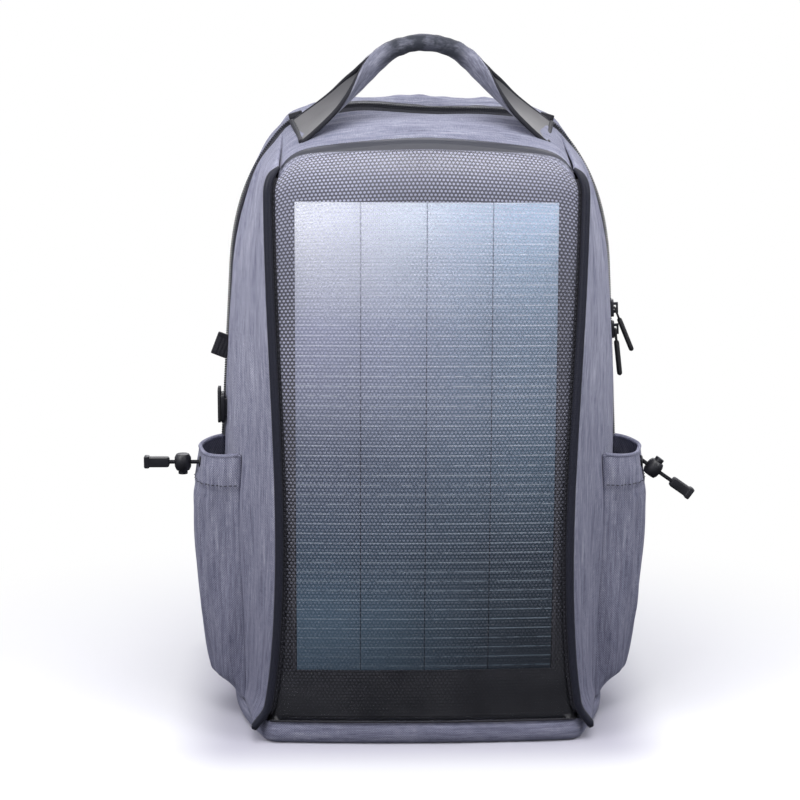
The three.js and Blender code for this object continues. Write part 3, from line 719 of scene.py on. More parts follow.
def cell_tone_and_reflection(k):
    """Teal cell colour under a painted reflection that is pale at the top left and fades towards the
    foot, with faint clouds.
    """
    left, right = [k.ramp(k.z * (1 / CELL_TOP), [(at / CELL_TOP, c) for at, c in stops])
                   for stops in (CELL_LEFT_AND_REFLECTION, CELL_RIGHT_AND_REFLECTION)]
    colour = k.mix(k.span(k.x, -0.095, 0.085), left, right)
    return k.mix(k.span(k.noise(k.place, 9, 3), 0.3, 0.7, 0.0, 0.16), colour, (0.05, 0.07, 0.10))


def cell_look():
    """Silicon cell: fine silver fingers across it."""
    k = Look("Solar cell")
    weave = k.sine(k.x * (2 * math.pi / 0.0053)) * 0.5
    finger = k.span(abs(k.fract(k.z * (1 / FINGER_PITCH)) - 0.5), 0.035, 0.075, 1.0, 0.0)
    finger = finger * k.span(k.noise(k.place, (170, 1, 144), 1), 0.30, 0.55, 0.2, 1.0)
    # Painted reflection: the fingers go from dim at the foot to bright silver at the top.
    silver = k.mix(painted_reflection_rise(k), (0.15, 0.21, 0.26), (0.80, 0.82, 0.88))
    return k.finish(k.mix(finger * 0.62, cell_tone_and_reflection(k), silver), weave * 0.3 + finger, 0.2, 0.12,
                    Roughness=0.38, Specular_IOR_Level=0.25)


def backsheet_look():
    """Near black round the cells, lightened towards the top by a painted reflection. In the gaps between
    them it takes up most of their tone, painted reflection included.
    """
    k = Look("Backsheet")
    cloud = k.noise(k.place, 40, 3)
    # Painted reflection: the backsheet lightens towards the top of the face.
    colour = k.mix(painted_reflection_rise(k), (0.0030, 0.0030, 0.0035), (0.030, 0.031, 0.042))
    colour = k.mix(k.span(cloud, 0.3, 0.7, 0.0, 0.3), colour, (0.012, 0.012, 0.014))
    low, high = [corner[2] * MM for corner in box_mm("solar_cell_2")]
    inside = k.span(k.z, low, low + 0.001) * k.span(k.z, high - 0.001, high, 1.0, 0.0)
    between = k.span(abs(k.x), 0.060, 0.061, 1.0, 0.0) * inside
    return k.finish(k.mix(between * 0.72, colour, cell_tone_and_reflection(k)), cloud, 0.1, 0.2,
                    Roughness=k.span(cloud, 0.3, 0.7, 0.4, 0.55))


def grip_look():
    """The rolled middle of the handle: melange, darker in blotches over its middle and a little less so
    along its very top.
    """
    k = Look("Grip cloth")
    fine = k.noise(k.uv, (1100, 130, 1), 3, 0.7)
    tone = fine * 0.6 + k.noise(k.uv, (300, 30, 1)) * 0.45
    colour = k.ramp(tone, ((0.32, (0.09, 0.092, 0.13)), (0.52, (0.19, 0.195, 0.26)),
                           (0.72, (0.40, 0.405, 0.49))))
    blot = k.noise(k.place, (90, 90, 160), 3, 0.65)
    reach = k.span(abs(k.x), 0.020, 0.036, 1.0, 0.0)
    crest = k.span(k.z, 0.4965, 0.4950, 0.6, 1.0)
    dark_middle = reach * crest * k.span(blot, 0.32, 0.55, 0.6, 1.0)
    return k.finish(
        k.mix(dark_middle * 0.97, colour, (0.022, 0.026, 0.038)), fine * 0.4 + blot * reach, 0.5, 0.8,
        Roughness=k.span(blot, 0.3, 0.7, 0.8, 0.95), Sheen_Weight=0.2)


def handle_look():
    """Smooth stretch fabric over foam, with a painted shade darkening it towards the middle of the
    handle.
    """
    k = Look("Handle pad")
    broad = k.noise(k.place, 50)
    colour = k.mix(broad, (0.085, 0.083, 0.087), (0.155, 0.152, 0.157))
    # Painted shade: darker above 0.43 m, towards the middle of the handle.
    colour = k.mix(k.span(k.z, 0.430, 0.478), colour, (0.060, 0.060, 0.066))
    return k.finish(colour, k.noise(k.place, 1300, 3) * 0.5 + broad, 0.25, 0.3,
                    Roughness=0.6, Sheen_Weight=0.5, Sheen_Roughness=0.3)


HEATHER = heather()
HEATHER_DARK = heather("Heather fabric, shaded", 0.85)
# Painted shade: the pockets' inner faces take the heather at 0.45 of its tone.
HEATHER_INSIDE_SHADE = heather("Heather fabric, inside, painted shade", 0.45)
LINING = lining("Lining", (0.045, 0.046, 0.055))
SLEEVE_LINING = lining("Sleeve lining", (0.07, 0.07, 0.085), 0.75)
PIPING = ribbed("Piping", (0.018, 0.019, 0.030), ribs=5200, across=2600, shine=0.42, strength=0.25)
BINDING = ribbed("Binding tape", (0.018, 0.018, 0.024), ribs=4200, across=2600)
WEBBING = ribbed("Webbing", (0.022, 0.022, 0.028), ribs=2300, across=4200, strength=0.7)
ZIP_TAPE = ribbed("Zip tape", (0.026, 0.027, 0.036), ribs=3600, across=5200, strength=0.3)
CORD = ribbed("Braided cord", (0.014, 0.014, 0.018), ribs=3200, across=3200, strength=0.9)
ZIP_TEETH = moulded("Zip teeth", (0.020, 0.021, 0.028), 0.45)
PLASTIC = moulded("Black plastic", (0.012, 0.012, 0.015), 0.34)
RUBBER = moulded("Soft rubber", (0.017, 0.017, 0.019), 0.6, strength=0.25)
STEEL = moulded("Blackened steel", (0.05, 0.05, 0.055), 0.3, metal=0.9)
CABLE = moulded("Cable jacket", (0.014, 0.014, 0.016), 0.5)
TINNED = moulded("Tinned bus ribbon", (0.030, 0.030, 0.034), 0.45, metal=0.3)
THREAD = moulded("Thread", (0.028, 0.029, 0.038), 0.7)
SPACER = spacer("Spacer mesh", (0.036, 0.037, 0.043))
SPACER_PANEL = spacer("Back panel mesh", (0.055, 0.057, 0.068), 3.4)
HANDLE_PAD = handle_look()
GRIP_CLOTH = grip_look()
TEXTURED_FILM = film_look()
SOLAR_CELL = cell_look()
BACKSHEET = backsheet_look()


# ---------- placing ----------


def keep(obj, body, slot, *nodes):
    """The object rides on a body and stands for CAD nodes. Its slot is not used."""
    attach(obj, body)
    if nodes:
        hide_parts(*nodes)


def trim(obj, body, *nodes):
    """Tape, thread or cord in black."""
    keep(obj, body, "black_binding", *nodes)


def bend(obj, slot, a, b, start, end):
    """Bakes the object's placement into its mesh. The two bodies and the bend's start and end are not
    used.
    """
    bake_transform(obj)


def soften(node, material, width=0.5, segments=3, angle=35):
    """A CAD piece that stays in view: its own material and softened edges."""
    obj = NODES[node]
    obj.data.materials.clear()
    obj.data.materials.append(material)
    obj.modifiers.new("Weld", "WELD").merge_threshold = 1e-5
    edges = obj.modifiers.new("Soft edges", "BEVEL")
    edges.width = width * MM
    edges.segments = segments
    edges.limit_method = "ANGLE"
    edges.angle_limit = math.radians(angle)
    shade_smooth(obj)


def normals_of(fn, u, v, d=1e-3):
    n = unit(np.cross(fn(u + d, v) - fn(u - d, v), fn(u, v + d) - fn(u, v - d)))
    away = np.sum(n * (fn(u, v) - MIDDLE), -1, keepdims=True)
    return np.where(away < 0, -n, n)


def row_on(fn, u, vs, lift):
    """A path on a surface and its normals, for stitches and seams."""
    u = np.full(len(vs), u)
    n = normals_of(fn, u, vs)
    return fn(u, vs) + lift * n, n


# ---------- the solar face ----------

FOLD_R = 15.0                # the film folds back over the top edge round this radius


def film_point(v, u):
    """The film: flat to its top edge, then rolled back over it."""
    p = solar_face(u, np.minimum(v, 1.0), FACE_INSET, -0.4)
    start = math.radians(38)
    angle = start + np.clip((v - 1) / 0.12, 0, 1) * math.radians(58)
    corner = 1.8 * smooth(np.abs(2 * u - 1), 0.93, 1.0)
    p[..., 1] += FOLD_R * (math.cos(start) - np.cos(angle)) + corner
    p[..., 2] += FOLD_R * (np.sin(angle) - math.sin(start))
    return p


def behind(depth):
    return lambda v, u: film_point(v, u) + depth * Y


keep(sheet("film", grid(film_point, 150, 60, (0, 1.12)), [TEXTURED_FILM], 0.5, -Y),
     "shell", "textured_film", "solar_film")
keep(sheet("backsheet", grid(behind(2.6), 90, 40), [BACKSHEET], 1.0, -Y),
     "shell", "backsheet", "solar_backsheet")
keep(sheet("front_stiffener", grid(behind(5.0), 60, 24, (0, 0.93), (0.02, 0.98)), [LINING], 3.0, -Y),
     "shell", "lining", "front_panel")
for i in range(4):
    soften(f"solar_cell_{i + 1}", SOLAR_CELL, 0.1, 1)
for _, side in SIDES:
    soften(f"{side}_bus_ribbon", TINNED, 0.1, 1)


# ---------- piping round the solar face ----------


def piping_path(sign, t):
    """The front seam, flared out and down at its foot."""
    x, z = seam_at(t, PIPING_R - 0.5)
    foot = smooth(t, 0.05, 0.0)
    y = face_y(x, z) - 0.4 + 1.5 * foot
    return np.stack([sign * (x + 7.0 * foot**1.6), y, z - 1.5 * foot], 1)


for sign, side in SIDES:
    t = np.linspace(0, 1, 150)
    path = piping_path(sign, t)
    radius = 0.84 * PIPING_R * (1 - 0.3 * smooth(t, 0.004, 0.0)) * (1 - 0.5 * smooth(t, 0.975, 1.0))
    trim(tube(f"{side}_piping_cord", path, radius, PIPING, 14), "shell", f"{side}_piping")
    flange = path + [-sign * (PIPING_R + 0.2), 0.9, 0]
    trim(ribbon(f"{side}_piping_flange", flange[4:-4], 1.5, 0.5, BINDING, X), "shell")
    edge = flange[6:-6] + [-sign * 0.4, -0.75, 0]
    trim(stitches(f"{side}_piping_stitch", [(edge, -Y)], THREAD), "shell")


# ---------- gussets ----------


def zip_wave(x, nz):
    """The slack of the zip over the crown."""
    return (2.4 * groove(x + 46, 26) - 1.4 * groove(x - 12, 34)) * smooth(nz, 0.75, 0.95)


def side_cloth(u, v):
    p = side_face(u, v)
    reach = 105.0
    ends = pinch(v * reach, 5) * pinch((1 - v) * reach, 6)
    waves = 1.5 * ripple(p, 55, 3, (1, 0.45, 2.4)) + 0.7 * ripple(p, 20, 5, (1, 0.5, 3.5))
    crease = 2.2 * groove(v - 0.30 - 0.05 * np.sin(5 * u), 0.05)
    crease = crease * smooth(u, 0.30, 0.5) * smooth(u, 1.0, 0.8)
    lift = (waves * ends - crease) * smooth(u, 1.0, 0.93) * smooth(u, -0.01, 0.05) - 1.6 * (1 - ends)
    foot = smooth(u, 0.055, 0.0) * (1 - np.clip(v, 0, 1)) ** 3
    flare = np.stack([6.5 * foot**1.6, 0 * foot, -2.5 * foot], -1)
    return p + normals_of(side_face, u, v) * np.minimum(lift, 1.9)[..., None] + flare


def top_cloth(u, v):
    p = top_face(u, v)
    ends = pinch(v * 95, 4) * pinch((1 - v) * 95, 5) * (pinch(u * 200, 5) * pinch((1 - u) * 200, 5))
    waves = 1.1 * ripple(p, 60, 8, (3.0, 0.7, 1)) + 0.5 * ripple(p, 22, 9, (3.5, 0.6, 1))
    crown = smooth(1 - np.abs(2 * u - 1), 0.05, 0.5)
    slack = smooth(v, 0.55, 1.0) * (zip_wave(p[..., 0], crown) - 2.6 * crown)
    return p + Z * (waves * ends - 1.5 * (1 - ends) + slack)[..., None]


for sign, side in SIDES:
    points = grid(side_cloth, 190, 64, (0, 1), (-0.035, 1.02)) * [sign, 1, 1]
    keep(sheet(f"{side}_side", points, [HEATHER, LINING], 2.0),
         "shell", "heather_fabric", f"{side}_gusset")
keep(sheet("top_cloth", grid(top_cloth, 150, 60, (0, 1), (-0.05, 1.02)), [HEATHER, LINING], 2.0),
     "shell", "heather_fabric", "top_gusset")


# ---------- base and rear sill ----------

BASE_OUTLINE = Outline(
    [(0, -79), (54, -79), (104, -75)],
    [(104, -75), (114, -74), (117, -64)],
    [(117, -64), (132, -30), (140, 0), (139, 40)],
    [(139, 40), (136, 64)],
    [(136, 64), (134, BACK_Y), (122, BACK_Y)],
    [(122, BACK_Y), (0, BACK_Y)],
)
BASE_PROFILE = [(9, 0.2), (4, 0.3), (1.6, 1.6), (0.3, 4), (-0.2, 8), (0.2, 12), (1.4, 15.6),
                (3.6, 17.2), (7, 16.8), (9, 13)]         # inset and height of each ring
BASE_REAR = 13.0             # the base's height behind the solar face


def base_ring(inset, z, count=90):
    t = np.linspace(0, 1, count)
    x, y = BASE_OUTLINE.at(t)
    nx, ny = BASE_OUTLINE.normal(t)
    half = np.stack([np.maximum(x - inset * nx, 0), y - inset * ny, np.full(count, float(z))], 1)
    half[[0, -1], 0] = 0
    return np.concatenate([half, half[-2:0:-1] * [-1, 1, 1]])


def base_cloth():
    rings = []
    for inset, z in BASE_PROFILE:
        ring = base_ring(inset, z)
        low = min(z, BASE_REAR)
        ring[:, 2] = low + (z - low) * smooth(-ring[:, 1], 40, 66)
        if 3 < z < 14:
            ring[:, 0] += 0.5 * ripple(ring, 40, 12, (1, 1, 3))
            ring[:, 1] += 0.5 * ripple(ring, 34, 13, (1, 1, 3))
        rings.append(ring)
    p = np.array(rings)
    n, last = p.shape[1], len(rings) - 1
    faces = grid_faces(len(rings), n)
    faces += [(i * n + n - 1, (i + 1) * n + n - 1, (i + 1) * n, i * n) for i in range(last)]
    faces += [tuple(range(n))[::-1], tuple(last * n + j for j in range(n))]
    uv = np.stack(np.meshgrid(lengths(p[:, 0]), lengths(p[4]), indexing="ij"), -1).reshape(-1, 2)
    marks = [0] * (len(faces) - 1) + [1]
    return fix_normals(mesh_object("base_cloth", p.reshape(-1, 3), faces, [HEATHER, LINING], uv, marks))


def sill_cloth(v, u):
    """The low rear wall, from the zip plane round the back."""
    corner = [(137, ZIP_Y + 1), (136.5, 52), (134, 64), (128, 72), (118, BACK_Y - 0.5),
              (60, BACK_Y - 0.3), (0, BACK_Y - 0.3)]
    right = spline(corner, 60)
    loop = np.concatenate([right, right[-2::-1] * [-1, 1]])
    at = np.clip(u, 0, 1) * (len(loop) - 1)
    x, y = [np.interp(at, np.arange(len(loop)), column) for column in loop.T]
    swell = 1.2 * np.sin(math.pi * v)
    size = np.hypot(x, y - 20) + 1e-9
    return np.stack([x + swell * x / size, y + swell * (y - 20) / size, 12.6 + 16.2 * v], -1)


keep(base_cloth(), "shell", "heather_fabric", "base_panel")
seam = base_ring(0.4, 12.4, 120)
seam[:, 2] = 12.6 + 4.6 * smooth(-seam[:, 1], 40, 66)
seam = seam[seam[:, 1] < -72]
seam = seam[np.argsort(seam[:, 0])] * [1.001, 1.001, 1]
trim(tube("base_seam", seam, 0.8, BINDING, 6), "shell")
keep(sheet("sill_cloth", grid(sill_cloth, 12, 120), [HEATHER, LINING], 2.6),
     "shell", "heather_fabric", "rear_sill")


# ---------- side pockets ----------

POCKET_TOP = 0.44            # share of the gusset's height
POCKET_FRONT, POCKET_REAR = 0.44, 0.96       # shares of the gusset's depth
POCKET_REACH = 75.0
POCKET_BULGE = 23.0
POCKET_SKIN = 2.2
HEM_STITCH = 0.885           # share of the pocket's height


def pocket_base(u, v):
    """The pocket's outer face: sewn at its sides and foot, full in the middle, high at its edges."""
    across = np.clip(v, 0, 1)
    ends = np.where(across < 0.5, 0.012, 0.004)
    rise = ends * (np.abs(2 * across - 1) ** 3) * smooth(u, 0.7, 1.0)
    place = POCKET_TOP * u + rise, POCKET_FRONT + (POCKET_REAR - POCKET_FRONT) * v
    profile = np.maximum(np.sin(math.pi * (0.2 + 0.5 * np.clip(u, -0.3, 1.2))), 0) ** 0.8
    fullness = 1.15 - 0.4 * smooth(u, 0.55, 0.95)
    bulge = POCKET_BULGE * profile * np.maximum(np.sin(math.pi * across), 0) ** fullness
    bulge = bulge * smooth(u, -0.02, 0.10)
    sewn = pinch(np.minimum(across, 1 - across) * POCKET_REACH, 3.0)
    stand_off = (0.4 + POCKET_SKIN) * sewn - 0.5 * (1 - sewn)
    return side_face(*place) + normals_of(side_face, *place) * (stand_off + bulge)[..., None]


def pocket_cloth(u, v):
    p = pocket_base(u, v)
    edges = pinch(v * POCKET_REACH, 4) * pinch((1 - v) * POCKET_REACH, 4)
    waves = 1.7 * ripple(p, 42, 21, (1, 0.5, 3.2)) + 0.9 * ripple(p, 17, 22, (1, 0.5, 4.0))
    gathers = 0.9 * np.sin(v * 58 + 2 * np.sin(u * 9)) * groove(u - 0.86, 0.06)
    fold = 3.2 * groove(v - 0.36 + 0.10 * (u - 0.5), 0.055) * smooth(u, 0.1, 0.4) * smooth(u, 0.85, 0.7)
    hem = 0.9 * smooth(u, 0.868, 0.880) + 0.5 * np.sin(math.pi * smooth(u, 0.88, 1.0))
    lift = (waves * smooth(u, 0.90, 0.80) + gathers - fold) * edges * smooth(u, 0, 0.1) + hem
    dent = 2.6 * groove(v - 0.5, 0.13) * groove(u - 0.95, 0.07)
    return p + normals_of(pocket_base, u, v) * (np.minimum(lift, 2.6) - dent)[..., None]


for sign, side in SIDES:
    flip = np.array([sign, 1, 1])
    points = grid(pocket_cloth, 150, 80) * flip
    keep(sheet(f"{side}_pocket_cloth", points, [HEATHER, HEATHER_INSIDE_SHADE], 1.8),
         "shell", "heather_fabric", f"{side}_pocket")
    v = np.linspace(0.01, 0.99, 160)
    path, n = row_on(pocket_cloth, HEM_STITCH, v, 0.25)
    keep(stitches(f"{side}_hem_stitch", [(path * flip, n * flip)], THREAD), "shell", "heather_fabric")
    path, _ = row_on(pocket_cloth, 1.0, v, -0.9)
    keep(tube(f"{side}_hem_roll", path * flip, 1.5, HEATHER, 8), "shell", "heather_fabric")


# ---------- drawcords ----------

CORD_R = 1.45
EYELET = pocket_base(np.array([0.95]), np.array([0.5]))[0]
SLOPE = math.radians(35)     # the right cord hangs by this much

for sign, side, direction, length, inward in (
    (-1, "left", -X, 20.0, 2.3),
    (1, "right", np.array([math.cos(SLOPE), 0, -math.sin(SLOPE)]), 26.0, 1.5),
):
    soften(f"{side}_cord_end", PLASTIC)
    soften(f"{side}_cord_lock", PLASTIC, 0.35, 3, 40)
    soften(f"{side}_lock_button", PLASTIC, 0.3, 3, 50)
    start = EYELET * [sign, 1, 1] + [0.8 * sign, 0, 0]
    path = start + np.linspace(-1.5, length + 1.0, 40)[:, None] * direction
    trim(tube(f"{side}_rope", path, CORD_R, CORD, 12), f"cord_{side}", f"{side}_cord")
    a = np.linspace(0, 2 * math.pi, 25)[:, None]
    ring = start - sign * inward * X + 3.6 * (np.cos(a) * Y + np.sin(a) * Z)
    keep(tube(f"{side}_eyelet", ring, 0.8, PLASTIC, 8), "shell", "black_plastic")


# ---------- zip ----------

ZIP_LEAN = 0.5               # over the crown the zip faces a little forwards
TOOTH_STEP = 1.7
BOX = np.array([(a, b, c) for a in (-1, 1) for b in (-1, 1) for c in (-1, 1)], float)
BOX_FACES = [(0, 1, 3, 2), (4, 6, 7, 5), (0, 4, 5, 1), (2, 3, 7, 6), (0, 2, 6, 4), (1, 5, 7, 3)]


def zip_half(name, outline, side, body, node):
    """One tape with its row of moulded teeth. side is -1 for the half on the shell, 1 for the door's."""
    x, z, nx, nz = hoop(outline, CROWN, np.linspace(0.002, 0.998, 500))
    lean = ZIP_LEAN * smooth(nz, 0.55, 0.97)
    line = np.stack([x, np.full(500, ZIP_Y), z + zip_wave(x, nz)], 1)
    n = np.stack([nx, 0 * nx, nz], 1)
    tape = []
    for s in np.linspace(0, 1, 7):
        reach = side * (0.5 + 7.5 * s)
        tape.append(line + (0.6 - 1.4 * s + lean * reach)[:, None] * n + reach * Y)
    keep(sheet(name + "_tape", np.array(tape).transpose(1, 0, 2), [ZIP_TAPE, ZIP_TAPE], 0.9),
         body, "zip_chain", node)
    rows = resample(np.concatenate([line, n, lean[:, None]], 1), step=TOOTH_STEP)
    verts, faces = [], []
    shift = 0.25 if side < 0 else 0.75
    for here, there in zip(rows, rows[1:]):
        c = here * (1 - shift) + there * shift
        along, out = unit(there[:3] - here[:3]), unit(c[3:6])
        faces += [tuple(len(verts) + k for k in f) for f in BOX_FACES]
        middle = c[:3] + (1.15 + side * 1.05 * c[6]) * out + side * 1.05 * Y
        for a, b, d in BOX:
            head = 1.0 if b * side > 0 else 0.62
            verts.append(middle + along * a * 0.58 * head + b * 1.15 * Y + out * d * 0.75 * head)
    teeth = fix_normals(mesh_object(name + "_teeth", verts, faces, [ZIP_TEETH]))
    shade_smooth(teeth, False)
    keep(teeth, body, "zip_chain")


zip_half("front_zip", SHELL_ZIP, -1, "shell", "front_zip_half")
zip_half("back_zip", DOOR_ZIP, 1, "back_door", "back_zip_half")
for which in ("upper", "lower"):
    soften(f"{which}_slider", STEEL, 0.4)
    soften(f"{which}_zip_pull", RUBBER, 0.4)


# ---------- charging port and electrics ----------

soften("usb_port", PLASTIC)
soften("usb_port_cap", RUBBER)
soften("junction_box", PLASTIC, 0.6)
soften("charge_controller", PLASTIC, 0.8)
for name, points in (
    ("panel_cable", [[-8.8, -52.5, 366], [-14, -49, 373], [-22, -44, 380], [-30, -43, 374.8]]),
    ("usb_cable", [[-70, -43, 374.4], [-84, -41, 384], [-101, -34, 374], [-118, -8, 320],
                   [-121, 14, 262], [-121, 22, 230]]),
):
    keep(tube(f"{name}_run", spline(points, 90), 1.8, CABLE, 12), "shell", "cable_jacket", name)

POUCH_LOW, POUCH_HIGH = box_mm("controller_pouch")


def pouch_wall(u, v):
    """A patch pocket in lining cloth round the controller, open at its top."""
    x_mid, x_half = (POUCH_LOW[0] + POUCH_HIGH[0]) / 2, (POUCH_HIGH[0] - POUCH_LOW[0]) / 2
    size = POUCH_HIGH - POUCH_LOW
    a = math.pi * (u - 0.5)
    x = x_mid + (x_half - 1) * np.clip(1.25 * np.sin(a), -1, 1)
    y = POUCH_LOW[1] + 1.0 + (size[1] - 2.0) * np.clip(1.6 * np.cos(a), 0, 1)
    z = POUCH_LOW[2] + (size[2] - 1) * v
    slump = 1.2 * ripple(np.stack([x, y, z], -1), 22, 31)
    return np.stack([x, y + slump * np.cos(a), z], -1)


keep(sheet("controller_pouch_cloth", grid(pouch_wall, 60, 20), [SLEEVE_LINING, LINING], 1.4, Y),
     "shell", "lining", "controller_pouch")


# ---------- sewn tabs ----------


def folded_tab(name, start, out, across, reach, width, node):
    """A doubled length of webbing sewn into a seam, folded at its free end."""
    out, across = unit(np.array(out)), unit(np.array(across))
    up = np.cross(out, across)
    gap = 0.85
    fold = [start + out * (reach - 1.6 + 1.1 * math.cos(a)) + up * gap * math.sin(a)
            for a in np.linspace(-math.pi / 2, math.pi / 2, 9)]
    half_way = start + out * reach * 0.5
    path = [start - up * gap, half_way - up * gap * 1.1, *fold, half_way + up * gap * 1.1,
            start + up * gap]
    keep(ribbon(name, resample(np.array(path), step=0.7), width / 2, 0.6, WEBBING, across),
         "shell", "webbing", node)


for sign, side in SIDES:
    folded_tab(f"{side}_shoulder_loop", np.array([sign * 88.5, 37, 428]), (sign * 0.25, 0.1, 0.95),
               (1, 0, -0.3 * sign), 12, 10, f"{side}_shoulder_tab")
low, high = box_mm("left_zip_tab")
start = (low + high) / 2
start[0] = high[0] + 2.5
folded_tab("left_zip_loop", start, (-0.93, 0, 0.36), (0.36, 0, 0.93), high[0] - low[0] + 3.0, 17,
           "left_zip_tab")


# ---------- grab handle ----------

GRIP_HALF = [(0, 490.5), (20, 486.5), (35, 476.5), (49, 462), (61, 450), (74, 439.5), (89.5, 428)]
GRIP_WIDTH = [(0, 21), (22, 22), (32, 26), (42, 32), (52, 41), (70, 51), (100, 58)]
GRIP_FOLD = [(0, 3.06), (20, 3.04), (29, 2.65), (38, 1.85), (48, 1.0), (62, 0.42), (82, 0.15),
             (100, 0.06)]
HANDLE_BEND = (0, 0.004, 0.436), (0, 0.004, 0.460)


def grip_frame(count):
    """The handle's middle line, its side towards the back and its outer normal."""
    whole = [(-x, 4.0, z) for x, z in GRIP_HALF[:0:-1]] + [(x, 4.0, z) for x, z in GRIP_HALF]
    path = spline(whole, count)
    x = path[:, 0]
    twist = 0.04 * np.sign(x) * smooth(np.abs(x), 62, 96)
    side = unit(np.stack([twist, np.ones(count), 0.27 * smooth(np.abs(x), 30, 56)], 1))
    side, up = frames(path, side)
    return path, side, np.where(up[:, 2:] < 0, -up, up)


def grip_shape(count, across):
    """The flat flared ends fold up lengthwise until their edges meet over the middle."""
    path, side, up = grip_frame(count)
    width, fold = [np.interp(np.abs(path[:, 0]), *spline(points, 80).T)
                   for points in (GRIP_WIDTH, GRIP_FOLD)]
    radius = width / (2 * fold)
    a = fold[:, None] * np.linspace(-1, 1, across)
    rise = radius[:, None] * (1 - np.cos(a)) - (radius * (1 - np.cos(fold)) / 2)[:, None]
    p = path[:, None] + side[:, None] * (radius[:, None] * np.sin(a))[..., None]
    return p + up[:, None] * rise[..., None], up


def handle():
    p, outer = grip_shape(220, 41)
    p = p + Z * (0.3 * ripple(p, 16, 41, (0.6, 1, 1)) * smooth(np.abs(p[..., 0]), 60, 30))[..., None]
    grip = mesh_object("handle_wrap", p.reshape(-1, 3), grid_faces(*p.shape[:2]),
                       [HANDLE_PAD, GRIP_CLOTH], grid_uv(p))
    if grip.data.polygons[20].normal.z < 0:
        grip.data.flip_normals()
    pieces = [thicken(grip, 2.6, 1, 1)]
    for name, k in (("front", 0), ("rear", -1)):
        edge = p[:, k] - outer * 1.2
        for label, part in (("left", edge[edge[:, 0] < -20]), ("right", edge[edge[:, 0] > 20])):
            radius = 1.5 - 0.7 * smooth(np.abs(part[:, 0]), 34, 22)
            pieces.append(sweep(f"handle_binding_{name}_{label}", part, circle(9), radius, radius * 1.15,
                                [BINDING]))
    path, _, up = grip_frame(120)
    inner = np.abs(path[:, 0]) < 42
    core, up = path[inner], up[inner]
    radius = 3.4 * smooth(np.abs(core[:, 0]), 38, 23) + 0.4
    pieces.append(tube("handle_core", core, radius, HEATHER_DARK, 14))
    ridge = core + up * 4.0 + 0.35 * np.sin(np.arange(len(core)) * 1.9)[:, None] * Y
    ridge = ridge[np.abs(core[:, 0]) < 26]
    pieces.append(sweep("handle_top_seam", ridge, circle(8), 1.9, 0.8, [HEATHER_DARK], side=Y))
    for side, k in (("left", 0), ("right", -1)):
        end = p[k][::-1] - 0.4 * outer[k]
        pieces.append(tube(f"handle_end_binding_{side}", end, 1.9, BINDING, 9))
    return pieces


for index, piece in enumerate(handle()):
    bend(piece, "black_binding" if index else "heather_fabric", "shell", "handle", *HANDLE_BEND)
    if index == 0:
        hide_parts("grab_handle", "left_handle_tab", "right_handle_tab")


# ---------- back door ----------

DOOR_DEPTH = 45.0
PANEL_LOW, PANEL_HIGH = 30.4, 435.2


def door_cloth(u, v):
    p = door_face(u, v)
    _, _, nx, nz = hoop(DOOR_ZIP, CROWN, u)
    ends = pinch(v * DOOR_DEPTH, 3) * pinch((1 - v) * DOOR_DEPTH, 3)
    foot = smooth(1 - np.abs(2 * u - 1), 0.0, 0.02)
    waves = 1.0 * ripple(p, 48, 51, (1, 0.6, 1.6)) + 0.45 * ripple(p, 18, 52, (1, 0.7, 1.6))
    slack = smooth(v, 0.5, 0.0) * (smooth(nz, 0.55, 0.97) * 1.9 + zip_wave(p[..., 0], nz))
    lift = waves * ends * foot - 1.2 * (1 - ends) + slack
    return p + np.stack([nx, 0 * nx, nz], -1) * lift[..., None]


def back_edge(inset, y, count=260):
    """The rear outline of the door as a path from its left foot over the top to its right foot."""
    x, z, nx, nz = hoop(BACK_SIDE, BACK_CROWN, np.linspace(0.002, 0.998, count))
    return np.stack([x - inset * nx, np.full(count, float(y)), z - inset * nz], 1)


def half_width(z):
    """Half width of the rear outline at a height."""
    t = np.linspace(0, 1, 400)
    (sx, sz), (cx, cz) = BACK_SIDE.at(t), BACK_CROWN.at(t)
    return np.interp(z, np.concatenate([sz, cz[1:]]), np.concatenate([sx, cx[1:]]))


def rear_surface(x, z):
    """The back panel's own relief: padded, a little hollow along the spine."""
    inside = np.minimum(np.minimum(half_width(z) - np.abs(x), z - 30.0), 435.5 - z)
    return BACK_Y - 1.4 + 2.2 * pinch(inside, 9.0) - 0.9 * groove(x, 15.0)


def back_cloth(v, u):
    z = PANEL_LOW + (PANEL_HIGH - PANEL_LOW) * v
    x = (2 * u - 1) * np.maximum(half_width(z) - 1.0, 0.5)
    return np.stack([x, rear_surface(x, z), z], -1)


def hinge_cloth(v, u):
    """The fold the door turns on: one strip from the sill to the door."""
    return np.stack([(2 * u - 1) * 119, BACK_Y + 0.8 + 0.7 * np.sin(math.pi * v), 25.0 + 9.5 * v], -1)


keep(sheet("door_cloth", grid(door_cloth, 340, 34), [HEATHER, LINING], 2.0),
     "back_door", "heather_fabric", "door_gusset")
trim(tube("door_piping", back_edge(0.4, BACK_Y - 0.6), 2.3, PIPING), "back_door")
trim(stitches("door_piping_stitch", [(back_edge(5.2, BACK_Y + 0.9), Y)], THREAD), "back_door")
keep(sheet("back_panel_cloth", grid(back_cloth, 150, 80), [SPACER_PANEL, LINING], 6.0, Y),
     "back_door", "spacer_mesh", "back_panel")
foot = np.linspace(-129, 129, 80)[:, None] * X + [0, BACK_Y - 0.4, 31.0]
trim(tube("door_foot_binding", foot, 1.9, BINDING, 8), "back_door")
bend(sheet("hinge_fold", grid(hinge_cloth, 13, 60), [BINDING, BINDING], 0.9, Y),
     "black_binding", "shell", "back_door", (0, 0.077, 0.0262), (0, 0.077, 0.0325))


# ---------- laptop sleeve ----------

SLEEVE_LOW, SLEEVE_HIGH = box_mm("laptop_sleeve")


